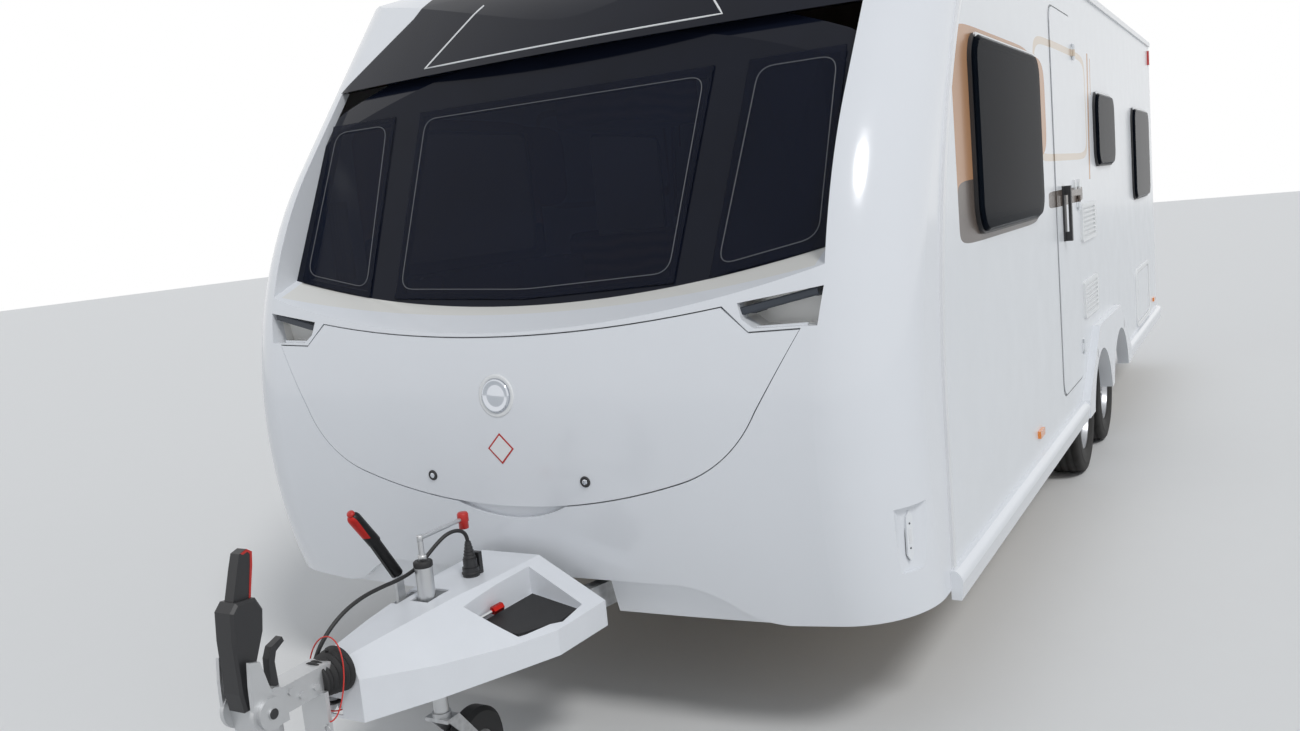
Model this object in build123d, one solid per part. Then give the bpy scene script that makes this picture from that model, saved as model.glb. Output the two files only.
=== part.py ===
"""Twin-axle travel caravan, standing on its four road wheels and its jockey wheel.

Frame: X across (nearside, with the entrance door, is +X), Y along the body (the towing end is -Y),
Z up. The origin is on the ground, in the middle of the overall length and width. Millimetres.
"""
from build123d import *
from math import asin, cos, degrees, pi, radians, sin, sqrt, tan
import os

os.makedirs("parts", exist_ok=True)

# Body shell: walls, roof and floor
half_width = 1190.0          # outer face of the side walls
wall = 28.0                  # sandwich wall thickness
roof_thickness = 30.0
floor_top = 545.0
floor_thickness = 44.0
wall_bottom = 440.0
eaves_z = 2420.0             # top of the side walls
crown_z = 2500.0             # roof height on the centre line
rear_y = 3900.0              # outer face of the rear panel
rear_seam_y = 3770.0         # where the rear moulding meets the walls
rear_corner_r = 110.0
rear_top_r = 160.0
panel_gap = 4.0              # gap round every door and lid

# Front moulding: its centre line is an arc below the nose, an arc above it and a straight slope
nose_y = -2903.0
nose_z = 935.0
chin_r = 1730.0
brow_r = 1470.0
slope_deg = 39.1
slope_length = 389.0
roof_lead_r = 1370.0
roof_lead_deg = 52.0
roof_blend_r = 600.0
roof_blend_deg = 80.0
front_bow_r = 8900.0         # plan radius of the nose across the body
front_corner_r = 250.0
seam_y = -2430.0             # where the front moulding meets the side walls
seam_arc_z = 900.0
seam_r = 1900.0
seam_lean = 20.0
chin_z = 100.0               # the moulding's surface is worked out from below its lower edge

# Running gear
wheel_spacing = 750.0
front_axle_y = 530.0
tyre_r = 303.0
tyre_width = 188.0
rim_r = 184.0
wheel_outer_x = 1136.0
hub_bore_r = 33.0
running_clearance = 0.08
arch_front_y = 185.0
arch_rear_y = 1625.0
arch_top_z = 690.0
well_inner_x = 880.0

# Chassis
beam_x = 560.0               # outer face of the main beams
beam_width = 50.0
beam_top = floor_top - floor_thickness
beam_depth = 160.0
beam_front_y = -1600.0
beam_rear_y = 3640.0
drawbar_tip_y = -3600.0
drawbar_tip_x = 62.0

# Entrance door
door_front_y = -455.0
door_rear_y = 105.0
door_bottom_z = 580.0
door_top_z = 2246.0
door_corner_r = 70.0

epsilon = 0.3                # curved faces of different bodies stay this far apart


def on_yz(x=0.0):
    """Plane for side views: local x is along the body, local y is up, and it faces +X."""
    return Plane(origin=(x, 0, 0), x_dir=(0, 1, 0), z_dir=(1, 0, 0))


def on_xz(y=0.0):
    """Plane for front views: local x is across, local y is up, and it faces -Y."""
    return Plane(origin=(0, y, 0), x_dir=(1, 0, 0), z_dir=(0, -1, 0))


def block(x0, x1, y0, y1, z0, z1):
    """A box between two corners."""
    return Pos((x0 + x1) / 2, (y0 + y1) / 2, (z0 + z1) / 2) * Box(abs(x1 - x0), abs(y1 - y0), abs(z1 - z0))


def mirrored(shape):
    """The same shape on the other side of the body."""
    return mirror(shape, about=Plane.YZ)


def both_sides(shape):
    return shape + mirrored(shape)


def across(face_points, x0, x1):
    """A prism across the body from a side-view outline of (y, z) points."""
    face = make_face(Polyline(*face_points, close=True))
    return extrude(on_yz(x0) * face, amount=x1 - x0)


def save(shape, node):
    """Write one node, as the real piece is: one solid, or like solids that do not touch."""
    shape.label = node
    export_step(shape, f"parts/{node}.step")


def front_section(inset, depth):
    """Plan outline of the front moulding: a shallow bow, two round corners and straight sides."""
    bow = front_bow_r - inset
    corner = front_corner_r - inset
    side = half_width - inset
    reach = front_bow_r - front_corner_r
    centre_x = half_width - front_corner_r
    centre_y = front_bow_r - sqrt(reach**2 - centre_x**2)
    lean = asin(centre_x / reach)
    meet = (bow * sin(lean), front_bow_r - bow * cos(lean))
    middle = radians(45) + lean / 2
    knee = (centre_x + corner * sin(middle), centre_y - corner * cos(middle))

    def left(point):
        return (-point[0], point[1])

    outline = [
        ThreePointArc(left(meet), (0, inset), meet),
        ThreePointArc(meet, knee, (side, centre_y)),
        Line((side, centre_y), (side, depth)),
        Line((side, depth), (-side, depth)),
        Line((-side, depth), (-side, centre_y)),
        ThreePointArc((-side, centre_y), left(knee), left(meet)),
    ]
    return make_face(outline)


def path_point(radius, start, from_deg, to_deg):
    """End of an arc of the centre line that starts at (y, z) and turns from one lean to another."""
    a, b = radians(from_deg), radians(to_deg)
    return (start[0] + radius * (cos(a) - cos(b)), start[1] + radius * (sin(b) - sin(a)))


def along(start, lean_deg, length):
    a = radians(lean_deg)
    return (start[0] + length * sin(a), start[1] + length * cos(a))


chin_deg = -degrees(asin((nose_z - chin_z) / chin_r))
chin_point = path_point(chin_r, (nose_y, nose_z), 0, chin_deg)
slope_start = path_point(brow_r, (nose_y, nose_z), 0, slope_deg)
slope_end = along(slope_start, slope_deg, slope_length)


def swept_front(inset, depth=1300.0):
    """The nose volume: the plan outline carried along the centre line."""

    def station(point, lean_deg):
        a = radians(lean_deg)
        return Plane(origin=(0, *point), x_dir=(1, 0, 0), z_dir=(0, sin(a), cos(a)))

    def turn(point, lean_deg, radius, to_deg):
        a = radians(lean_deg)
        centre = (0, point[0] + radius * cos(a), point[1] - radius * sin(a))
        face = station(point, lean_deg) * front_section(inset, depth)
        return revolve(face, Axis(centre, (-1, 0, 0)), to_deg - lean_deg)

    chin = turn(chin_point, chin_deg, chin_r, 0)
    brow = turn((nose_y, nose_z), 0, brow_r, slope_deg)
    slope = extrude(station(slope_start, slope_deg) * front_section(inset, depth), amount=1300)
    return chin + brow + slope


def roof_section(drop, low_z):
    """Front view of all that lies below the roof's curve when it is lowered by the drop."""
    rise = crown_z - eaves_z
    roof_r = (half_width**2 + rise**2) / (2 * rise)
    reach = half_width + 15
    crown = crown_z - drop
    low_end = crown - roof_r + sqrt(roof_r**2 - reach**2)
    return make_face([
        Line((-reach, low_z), (-reach, low_end)),
        ThreePointArc((-reach, low_end), (0, crown), (reach, low_end)),
        Line((reach, low_end), (reach, low_z)),
        Line((reach, low_z), (-reach, low_z)),
    ])


def cabin_volume(inset=0.0, top_inset=None):
    """The whole body as one block, drawn in from its outer faces by the inset."""
    top = inset if top_inset is None else top_inset
    side = half_width - inset
    low, high = 200.0, 2800.0
    far = 6000.0
    tail = block(-side, side, seam_y + 30, rear_y, low, 1000) + block(-side, side, -1650, rear_y, low, high)
    plan_form = swept_front(inset) + tail

    lift = inset - 1.0
    a = radians(slope_deg)
    inward = (lift * cos(a), -lift * sin(a))
    start = along(slope_start, slope_deg, -2200)
    start = (start[0] + inward[0], start[1] + inward[1])
    lead = (slope_end[0] + inward[0], slope_end[1] + inward[1])
    blend = path_point(roof_lead_r - lift, lead, slope_deg, roof_lead_deg)
    flat = path_point(roof_blend_r - lift, blend, roof_lead_deg, roof_blend_deg)
    ridge = along(flat, roof_blend_deg, 500)
    lead_middle = path_point(roof_lead_r - lift, lead, slope_deg, (slope_deg + roof_lead_deg) / 2)
    blend_middle = path_point(roof_blend_r - lift, blend, roof_lead_deg, (roof_lead_deg + roof_blend_deg) / 2)
    profile = make_face([
        Line(start, lead),
        ThreePointArc(lead, lead_middle, blend),
        ThreePointArc(blend, blend_middle, flat),
        Line(flat, ridge),
        Line(ridge, (ridge[0], high)),
        Line((ridge[0], high), (far, high)),
        Line((far, high), (far, start[1])),
        Line((far, start[1]), start),
    ])
    roof_front = extrude(on_yz(-1300) * profile, amount=2600)

    roof_arch = extrude(on_xz(far) * roof_section(top, low), amount=2 * far)

    back = rear_y - inset
    radius = rear_corner_r - inset
    back_plan = Plane.XY.offset(low) * Pos(0, back - 5000) * RectangleRounded(2 * side, 10000, radius)
    back_form = extrude(back_plan, amount=high - low)
    top_z = crown_z - top
    r = rear_top_r - inset
    rim = make_face([
        Line((-far, low), (-far, high)),
        Line((-far, high), (back - 2 * r, high)),
        Line((back - 2 * r, high), (back - 2 * r, top_z + 1)),
        Line((back - 2 * r, top_z + 1), (back - r, top_z - 4)),
        ThreePointArc((back - r, top_z - 4), (back - r + r * sin(radians(45)), top_z - 4 - r + r * cos(radians(45))),
                      (back + 1, top_z - 4 - r)),
        Line((back + 1, top_z - 4 - r), (back + 1, low)),
        Line((back + 1, low), (-far, low)),
    ])
    back_rim = extrude(on_yz(-1300) * rim, amount=2600)
    return plan_form & roof_front & roof_arch & back_form & back_rim


def front_side():
    """Everything ahead of the seam between the front moulding and the side walls."""
    top = 2700.0
    end = asin((top - seam_arc_z) / seam_r)
    points = [(seam_y - seam_lean, 0), (seam_y, seam_arc_z)]
    arc_end = (seam_y + seam_r * (1 - cos(end)), top)
    arc_mid = (seam_y + seam_r * (1 - cos(end / 2)), seam_arc_z + seam_r * sin(end / 2))
    outline = make_face([
        Line(points[0], points[1]),
        ThreePointArc(points[1], arc_mid, arc_end),
        Line(arc_end, (-4200, top)),
        Line((-4200, top), (-4200, 0)),
        Line((-4200, 0), points[0]),
    ])
    return extrude(on_yz(-1400) * outline, amount=2800)



# Front windows: one dark surround set back between the pillars, with three panes
screen_y = -2720.0           # lower edge of the glass on the centre line
screen_z = 1300.0
screen_deg = 25.7
screen_half = 1000.0
screen_top_z = 2090.0
surround_thickness = 28.0
pane_thickness = 6.0
pane_lap = 18.0
flank = 22.0                 # thickness of the returns round the recess
recess_low_z = 1246.0        # outer edge of the ledge on the centre line
recess_rise = 98.0           # how much higher that edge is at the corners
lid_top_z = 1236.0
ledge_start_y = -2870.0
ledge_slope = 0.4

# Gas locker
bulkhead_y = -2400.0
tub_wall = 15.0
tub_top_z = 1262.0
lid_hinge_y = -2868.0
lid_hinge_z = 1300.0

# Windows in the side walls: name, side (+1 nearside), y0, y1, z0, z1
side_window_table = [
    ("lounge_near", 1, -1900.0, -880.0, 1410.0, 1985.0),
    ("middle_near", 1, 765.0, 1390.0, 1585.0, 1915.0),
    ("bedroom_near", 1, 2465.0, 3315.0, 1345.0, 1885.0),
    ("lounge_off", -1, -1900.0, -880.0, 1410.0, 1985.0),
    ("kitchen_off", -1, -350.0, 480.0, 1410.0, 1985.0),
    ("bedroom_off", -1, 2100.0, 2950.0, 1345.0, 1885.0),
]
window_corner_r = 70.0
frame_lap = 26.0             # how far a window frame reaches over the wall
frame_thickness = 12.0
glass_bulge = 16.0
rear_window = (620.0, 1330.0, 1850.0)   # half width, z0, z1

# Service hatch in the nearside wall
hatch_front_y, hatch_rear_y = 2450.0, 3220.0
hatch_bottom_z, hatch_top_z = 510.0, 840.0

# Trim on the side walls
skirt_bottom_z, skirt_top_z = 385.0, 470.0
side_reach = 1225.0          # outer face of skirts and wheel spats
rail_reach = 1200.0


def rounded_opening(x0, x1, y0, y1, z0, z1, radius):
    """A block through a side wall with rounded corners in side view."""
    outline = Pos((y0 + y1) / 2, (z0 + z1) / 2) * RectangleRounded(y1 - y0, z1 - z0, radius)
    return extrude(on_yz(min(x0, x1)) * outline, amount=abs(x1 - x0))


def across_prism(outline_edges, y0, y1):
    """A prism along the body from a front-view outline."""
    return extrude(on_xz(y1) * make_face(outline_edges), amount=y1 - y0)


whole = cabin_volume(0)
hollow = cabin_volume(wall)
shell = whole - hollow
ahead = front_side()
behind_rear_seam = block(-1400, 1400, rear_seam_y, 4400, 0, 2800)


# Roof, side walls and rear panel
below = extrude(on_xz(4500) * roof_section(roof_thickness, 0), amount=9000)
middle = whole - ahead - behind_rear_seam
wall_slab = block(half_width - wall, half_width, -3000, rear_seam_y, wall_bottom, 2700)
wall_raw = middle & wall_slab & below
arch_opening = rounded_opening(1100, 1250, arch_front_y, arch_rear_y, 300, arch_top_z, 90)
wall_near = wall_raw - arch_opening
wall_off = mirrored(wall_near)
roof = middle - below

for name, side, y0, y1, z0, z1 in side_window_table:
    hole = rounded_opening(side * 1100, side * 1300, y0, y1, z0, z1, window_corner_r)
    if side > 0:
        wall_near -= hole
    else:
        wall_off -= hole
doorway = rounded_opening(1100, 1300, door_front_y, door_rear_y, door_bottom_z, door_top_z, door_corner_r)
hatchway = rounded_opening(1100, 1300, hatch_front_y, hatch_rear_y, hatch_bottom_z, hatch_top_z, 40)
wall_near = wall_near - doorway - hatchway

# Rooflights: name, centre y, length, width
rooflight_table = [("lounge", -1000.0, 700.0, 500.0), ("bedroom", 2300.0, 400.0, 400.0)]
rooflight_top_z = 2610.0
domes = Part()
for name, y, length, width in rooflight_table:
    roof -= Pos(0, y, crown_z) * Box(width, length, 200)
    foot = extrude(Pos(0, y, crown_z - 12) * RectangleRounded(width + 90, length + 90, 40), amount=34)
    dome = extrude(Pos(0, y, crown_z + 22) * RectangleRounded(width + 60, length + 60, 50),
                   amount=rooflight_top_z - crown_z - 22, taper=22)
    inside = extrude(Pos(0, y, crown_z - 40) * RectangleRounded(width - 10, length - 10, 30), amount=75)
    domes += (foot + dome) - inside - roof
save(roof, "roof")
save(domes, "rooflights")

rear_moulding = shell & behind_rear_seam & block(-1300, 1300, 3000, 4200, wall_bottom, 2700)
half, low_z, high_z = rear_window
rear_hole = extrude(on_xz(4200) * Pos(0, (low_z + high_z) / 2)
                    * RectangleRounded(2 * half, high_z - low_z, window_corner_r), amount=500)
rear_panel = rear_moulding - rear_hole
save(rear_panel, "rear_panel")


# Windows: frames clipped round the openings, bulged panes hung in front of them
def side_window(y0, y1, z0, z1):
    """One frame and its pane on the nearside wall."""
    outer = rounded_opening(half_width, half_width + frame_thickness, y0 - frame_lap, y1 + frame_lap,
                            z0 - frame_lap, z1 + frame_lap, window_corner_r + frame_lap)
    inner = rounded_opening(half_width - 30, half_width + 60, y0 + 14, y1 - 14, z0 + 14, z1 - 14,
                            window_corner_r - 14)
    ring = outer - inner
    lap = frame_lap - 8
    face = half_width + frame_thickness
    pane = rounded_opening(face, face + glass_bulge, y0 - lap, y1 + lap, z0 - lap, z1 + lap,
                           window_corner_r + lap)
    pane = chamfer(pane.faces().sort_by(Axis.X)[-1].edges(), 10)
    hollow_back = rounded_opening(face - 1, face + glass_bulge - 5, y0 + 14, y1 - 14, z0 + 14, z1 - 14,
                                  window_corner_r - 14)
    return ring, pane - hollow_back


rings, panes = Part(), Part()
for name, side, y0, y1, z0, z1 in side_window_table:
    ring, pane = side_window(y0, y1, z0, z1)
    rings += ring if side > 0 else mirrored(ring)
    panes += pane if side > 0 else mirrored(pane)
rear_ring = extrude(on_xz(rear_y + frame_thickness) * Pos(0, (low_z + high_z) / 2)
                    * (RectangleRounded(2 * half + 2 * frame_lap, high_z - low_z + 2 * frame_lap, 90)
                       - RectangleRounded(2 * half - 28, high_z - low_z - 28, 56)), amount=frame_thickness)
rear_pane = extrude(on_xz(rear_y + frame_thickness + glass_bulge) * Pos(0, (low_z + high_z) / 2)
                    * RectangleRounded(2 * half + 36, high_z - low_z + 36, 80), amount=glass_bulge)
save(rings + rear_ring, "window_frames")
save(panes + rear_pane, "window_panes")


# Front moulding with its window recess, the gas locker lid and the dark panel above the windows
def recess_outline(grow, top_z):
    """Front view of the recess at the ledge's outer edge."""
    x = screen_half + grow
    corner_z = recess_low_z + recess_rise - grow
    return [
        ThreePointArc((-x, corner_z), (0, recess_low_z - grow), (x, corner_z)),
        Line((x, corner_z), (x, top_z)),
        Line((x, top_z), (-x, top_z)),
        Line((-x, top_z), (-x, corner_z)),
    ]


def recess_prism(grow, top_z):
    """The recess outline carried back and up along the slope of the ledge."""
    face = on_xz(0) * make_face(recess_outline(grow, top_z))
    run = 1400.0
    start_y = ledge_start_y - 300
    moved = Pos(0, start_y, (start_y - ledge_start_y) * ledge_slope) * face
    length = run * sqrt(1 + ledge_slope**2)
    return extrude(moved, amount=length, dir=(0, 1, ledge_slope))


tilt = radians(screen_deg)
screen_plane = Plane(origin=(0, screen_y, screen_z), x_dir=(1, 0, 0), z_dir=(0, -cos(tilt), sin(tilt)))
sheet = Rectangle(4000, 4000)
front_of_screen = extrude(screen_plane * sheet, amount=2000)
screen_slab = extrude(screen_plane * sheet, amount=-surround_thickness)
front_of_slab = front_of_screen + screen_slab
recess = recess_prism(0, screen_top_z) & block(-1300, 1300, -3300, -1000, 1000, screen_top_z)
pan_form = (recess_prism(flank, screen_top_z + flank) & front_of_slab) - recess_prism(0, 2400)

front_raw = shell & ahead
edge_mid_z, edge_dip_z, edge_corner_z = 502.0, 392.0, 412.0   # the moulding's lower edge


def lower_edge():
    """All that lies below the moulding's lower edge, which dips in an S towards the corners."""
    edges = [Line((-480, edge_mid_z), (480, edge_mid_z)), Line((-1300, 0), (1300, 0))]
    for side in (1, -1):
        crest, middle, dip = (side * 480, edge_mid_z), (side * 672, 448), (side * 830, edge_dip_z)
        corner, far = (side * half_width, edge_corner_z), (side * 1300, edge_corner_z)
        edges += [
            ThreePointArc(crest, (side * 590, 488), middle),
            ThreePointArc(middle, (side * 742, 408), dip),
            Line(dip, corner),
            Line(corner, far),
            Line(far, (far[0], 0)),
        ]
    return extrude(on_xz(-2000) * make_face(edges), amount=1200)


def lid_outline(gap):
    """Front view of the gas locker lid: a smile below, cut away at the top for the two handles."""
    low_mid, low_side, knee, high = (0, 722 + gap), (580, 812 + gap), (813 - gap, 1012), (942 - gap, 1226 - gap)
    notch, crest = (800, 1222 - gap), (725 - gap, 1291 - gap)
    arc_low = ThreePointArc((-low_side[0], low_side[1]), low_mid, low_side)
    corner = ThreePointArc(low_side, (730 - gap, 900), knee)
    edges = [
        arc_low,
        corner,
        Line(knee, high),
        Line(high, notch),
        Line(notch, crest),
        ThreePointArc(crest, (0, lid_top_z - gap), (-crest[0], crest[1])),
        Line((-crest[0], crest[1]), (-notch[0], notch[1])),
        Line((-notch[0], notch[1]), (-high[0], high[1])),
        Line((-high[0], high[1]), (-knee[0], knee[1])),
        ThreePointArc((-knee[0], knee[1]), (-(730 - gap), 900), (-low_side[0], low_side[1])),
    ]
    return edges


lid_hole = across_prism(lid_outline(0), -3200, -2450)
lid_form = across_prism(lid_outline(panel_gap), -3200, -2450)
lid_rim, lid_step = 8.0, 12.0   # thickness of the lid's rim, and how far its thick middle is set in
lid_middle = across_prism(lid_outline(panel_gap + lid_step), -3200, -2450)
lid = ((front_raw - cabin_volume(lid_rim)) & lid_form) + (front_raw & lid_middle)
save(lid, "locker_lid")

cap_outline = make_face(Polyline((-1010, screen_top_z), (1010, screen_top_z), (760, 2336), (560, 2700),
                                 (-560, 2700), (-760, 2336), close=True))
cap_prism = extrude(on_xz(-1400) * cap_outline, amount=1600)
front_cap = front_raw & cap_prism
skirt_band = (Pos(0, 22, 0) * shell) & block(-880, 880, -3100, -2500, 388, 560)
hitch_notch = block(-285, 285, -3100, -2500, 300, 505)
front_panel = front_raw - recess - lid_hole - cap_prism - lower_edge()
front_panel = front_panel + ((pan_form & whole & ahead) - lid_hole) + (skirt_band - hitch_notch)
pocket_back_y = -2722.0
pocket_outline = make_face(Polyline((780, 1256), (815, 1230), (985, 1230), (1000, 1330), (768, 1297), close=True))
pocket = extrude(on_xz(pocket_back_y) * pocket_outline, amount=400)
liner = block(735, 1030, -2880, pocket_back_y + 20, 1206, 1335) & whole
liner = liner - lid_hole - recess
front_panel = front_panel + both_sides(liner) - both_sides(pocket) - cap_prism

# The flange that the lid's seal presses on, round the opening
seal_skin, seal_width = 6.0, 22.0
flange_root = across_prism(lid_outline(-10), -3200, -2450) - lid_hole
flange_lip = lid_hole - across_prism(lid_outline(seal_width), -3200, -2450)
flange = (hollow & flange_root) + ((Pos(0, epsilon, 0) * hollow) & flange_lip)
front_panel += flange - Pos(0, seal_skin, 0) * hollow

# A scoop for the fingers below the lid, and a scoop with a lamp in each lower corner
finger_half, finger_depth = 200.0, 16.0
finger_outline = make_face([
    ThreePointArc((-finger_half, 733), (0, 688), (finger_half, 733)),
    Line((finger_half, 733), (finger_half, 760)),
    Line((finger_half, 760), (-finger_half, 760)),
    Line((-finger_half, 760), (-finger_half, 733)),
])
front_panel -= extrude(on_xz(-2700) * finger_outline, amount=400) - Pos(0, finger_depth, 0) * whole
scoop_x, scoop_y, scoop_r = 1250.0, -2734.0, 120.0
scoop_z0, scoop_z1, scoop_depth = 545.0, 730.0, 20.0
scoop = Pos(scoop_x, scoop_y, scoop_z0) * Cylinder(scoop_r, scoop_z1 - scoop_z0,
                                                   align=(Align.CENTER, Align.CENTER, Align.MIN))
scoop -= cabin_volume(scoop_depth)
front_panel -= both_sides(scoop)

# The dark surround lies in the recess and runs up behind the dark panel
surround = screen_slab & recess_prism(0, 2260) & block(-1300, 1300, -3300, -1000, 1000, 2300) & whole
surround = surround - front_raw
pane_bottom, pane_top = 60.0, 735.0   # up the slope from the lower edge of the glass
pane_outlines = [
    [(-520, 28 + 25), (0, 4 + 25), (520, 28 + 25), (565, pane_top), (-565, pane_top)],
    [(632, 38 + 25), (965, 108 + 25), (975, pane_top), (680, pane_top)],
    [(-632, 38 + 25), (-680, pane_top), (-975, pane_top), (-965, 108 + 25)],
]
front_panes = Part()
for outline in pane_outlines:
    flat = make_face(Polyline(*outline, close=True))
    front_panes += extrude(screen_plane * flat, amount=pane_thickness)
    surround -= extrude(screen_plane * offset(flat, -pane_lap), amount=-100)
save(front_cap, "front_cap")
save(front_panel, "front_panel")
save(surround, "front_window_surround")
save(front_panes, "front_window_panes")
save(wall_off, "wall_offside")


# Gas locker tub behind the lid: floor, bulkhead and top shelf
tub_floor = hollow & block(-1300, 1300, -3100, bulkhead_y, beam_top, beam_top + tub_wall)
tub_back = hollow & block(-1300, 1300, bulkhead_y, bulkhead_y + tub_wall, beam_top, tub_top_z + tub_wall)
tub_top = hollow & block(-1300, 1300, -2660, bulkhead_y, tub_top_z, tub_top_z + tub_wall)
save(tub_floor + tub_back + tub_top - front_panel, "gas_locker")

# Floor with the two wheel wells
well_wall = 8.0
floor_front_y = bulkhead_y + tub_wall
floor = hollow & block(-1300, 1300, floor_front_y, 4000, beam_top, floor_top)
inner_x = half_width - wall
for side in (1, -1):
    floor -= block(side * well_inner_x, side * inner_x, arch_front_y, arch_rear_y, 400, 700)
    box = block(side * (well_inner_x - well_wall), side * inner_x, arch_front_y - well_wall,
                arch_rear_y + well_wall, beam_top, arch_top_z + well_wall)
    floor += box - block(side * well_inner_x, side * (inner_x + 50), arch_front_y, arch_rear_y, 400, arch_top_z)
save(floor, "floor")


# Chassis: two main beams with cross members, and the drawbar ahead of them
def channel(length_line, x_outer, depth):
    """A C-section beam along the body whose open side faces inwards."""
    y0, y1 = length_line
    solid = block(x_outer - beam_width, x_outer, y0, y1, beam_top - depth, beam_top)
    return solid - block(x_outer - beam_width - 1, x_outer - 4, y0 - 1, y1 + 1,
                         beam_top - depth + 4, beam_top - 4)


cross_member_table = [beam_front_y, -300.0, 1900.0, 3300.0, beam_rear_y]
steady_front_y = -2150.0
cross_width, cross_depth = 50.0, 70.0
steady_x = 700.0
steady_z = beam_top - cross_depth - 18
steady_pin_r = 6.0
chassis = both_sides(channel((beam_front_y, beam_rear_y), beam_x, beam_depth))
for y in cross_member_table:
    reach = steady_x + 60 if y == cross_member_table[3] else beam_x - 2
    chassis += block(-reach, reach, y - cross_width, y, beam_top - cross_depth, beam_top)


def steady_bracket(y, way):
    """Two lugs and a hinge pin below a cross member, for one nearside steady."""
    lug_low = steady_z - 22
    lugs = block(steady_x - 30, steady_x - 24, y - 22, y + 22, lug_low, beam_top - cross_depth)
    lugs += block(steady_x + 24, steady_x + 30, y - 22, y + 22, lug_low, beam_top - cross_depth)
    pin = extrude(on_yz(steady_x - 24) * Pos(y, steady_z) * Circle(steady_pin_r), amount=48)
    return lugs + pin


steady_rear_y = cross_member_table[3] - cross_width / 2
chassis += both_sides(steady_bracket(steady_rear_y, -1))
save(chassis, "chassis")

drawbar_depth, drawbar_width = 74.0, 45.0
drawbar_top = 474.0
arm_start = (beam_x - beam_width, beam_front_y - cross_width)
arm_plan = make_face(Polyline((arm_start[0], arm_start[1]), (arm_start[0] - drawbar_width, arm_start[1]),
                              (drawbar_tip_x - drawbar_width, drawbar_tip_y), (drawbar_tip_x, drawbar_tip_y),
                              close=True))
arm = extrude(Plane.XY.offset(drawbar_top - drawbar_depth) * arm_plan, amount=drawbar_depth)
head_plate = block(-drawbar_tip_x, drawbar_tip_x, drawbar_tip_y, drawbar_tip_y + 180,
                   drawbar_top - drawbar_depth, drawbar_top)
front_cross = block(-steady_x - 60, steady_x + 60, steady_front_y - cross_width, steady_front_y,
                    beam_top - cross_depth, beam_top)
front_cross += both_sides(steady_bracket(steady_front_y - cross_width / 2, 1))
drawbar = both_sides(arm) + head_plate + front_cross - chassis
save(drawbar, "drawbar")

# Axles: a cross tube under the beams, trailing arms, brake drums and stub spigots
axle_drop = 70.0
axle_lead = 150.0
axle_tube = 84.0
drum_r, drum_inner_x, drum_outer_x = 118.0, 872.0, 948.0
hub_r = hub_bore_r - running_clearance
hub_end_x = 1040.0
axles = Part()
for wheel_y in (front_axle_y, front_axle_y + wheel_spacing):
    tube_y = wheel_y - axle_lead
    tube_z = beam_top - beam_depth - axle_tube / 2
    axle = block(-800, 800, tube_y - axle_tube / 2, tube_y + axle_tube / 2, tube_z - axle_tube / 2,
                 tube_z + axle_tube / 2)
    link = Plane.YZ.offset(800) * make_hull([
        Pos(tube_y, tube_z) * Circle(46).edge(), Pos(wheel_y, tyre_r) * Circle(38).edge()])
    arm_solid = extrude(link, amount=40)
    drum = Plane.YZ.offset(840) * Pos(wheel_y, tyre_r) * Circle(40)
    drum = extrude(drum, amount=drum_inner_x - 840)
    drum += extrude(Plane.YZ.offset(drum_inner_x) * Pos(wheel_y, tyre_r) * Circle(drum_r),
                    amount=drum_outer_x - drum_inner_x)
    drum += extrude(Plane.YZ.offset(drum_outer_x) * Pos(wheel_y, tyre_r) * Circle(hub_r),
                    amount=hub_end_x - drum_outer_x)
    axles += axle + both_sides(arm_solid + drum)
save(axles, "axles")


# Road wheels: tyre and spoked rim, turned about the X axis at the wheel centre
def wheel_parts():
    """One nearside tyre and rim at the origin of the axle line."""
    half = tyre_width / 2
    mid_x = wheel_outer_x - half
    tread = half - 14
    shoulder = 24.0
    bead = rim_r - 4
    bead_half = half - 14
    section = Polyline(
        (mid_x - tread, tyre_r), (mid_x + tread, tyre_r), (mid_x + half, tyre_r - shoulder),
        (mid_x + bead_half, bead), (mid_x - bead_half, bead), (mid_x - half, tyre_r - shoulder), close=True)
    tyre = revolve(make_face(section), Axis.X, 360)
    barrel_half = half - 17
    disc_x = mid_x + 12.0
    rim_outline = make_face(Polyline(
        (mid_x - barrel_half, bead - 0.2), (mid_x + barrel_half, bead - 0.2),
        (mid_x + barrel_half, bead - 16), (disc_x + 40, bead - 26), (disc_x + 30, 70), (disc_x + 44, 55),
        (disc_x + 44, hub_bore_r), (drum_outer_x + 0.5, hub_bore_r), (drum_outer_x + 0.5, 80),
        (disc_x, 95), (disc_x + 10, bead - 40), (mid_x - barrel_half, bead - 24), close=True))
    rim = revolve(rim_outline, Axis.X, 360)
    spokes = 10
    window = Plane.YZ.offset(disc_x - 60) * make_face(Polyline(
        (-17, 84), (17, 84), (34, bead - 42), (-34, bead - 42), close=True))
    window_cut = extrude(window, amount=200)
    for k in range(spokes):
        rim -= Rot(k * 360 / spokes, 0, 0) * window_cut
    return tyre, rim


tyre_near, rim_near = wheel_parts()
for axle_name, wheel_y in (("front", front_axle_y), ("rear", front_axle_y + wheel_spacing)):
    place = Pos(0, wheel_y, tyre_r)
    save(place * tyre_near, f"tyre_{axle_name}_nearside")
    save(place * rim_near, f"rim_{axle_name}_nearside")
    save(place * mirrored(tyre_near), f"tyre_{axle_name}_offside")
    save(place * mirrored(rim_near), f"rim_{axle_name}_offside")

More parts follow.
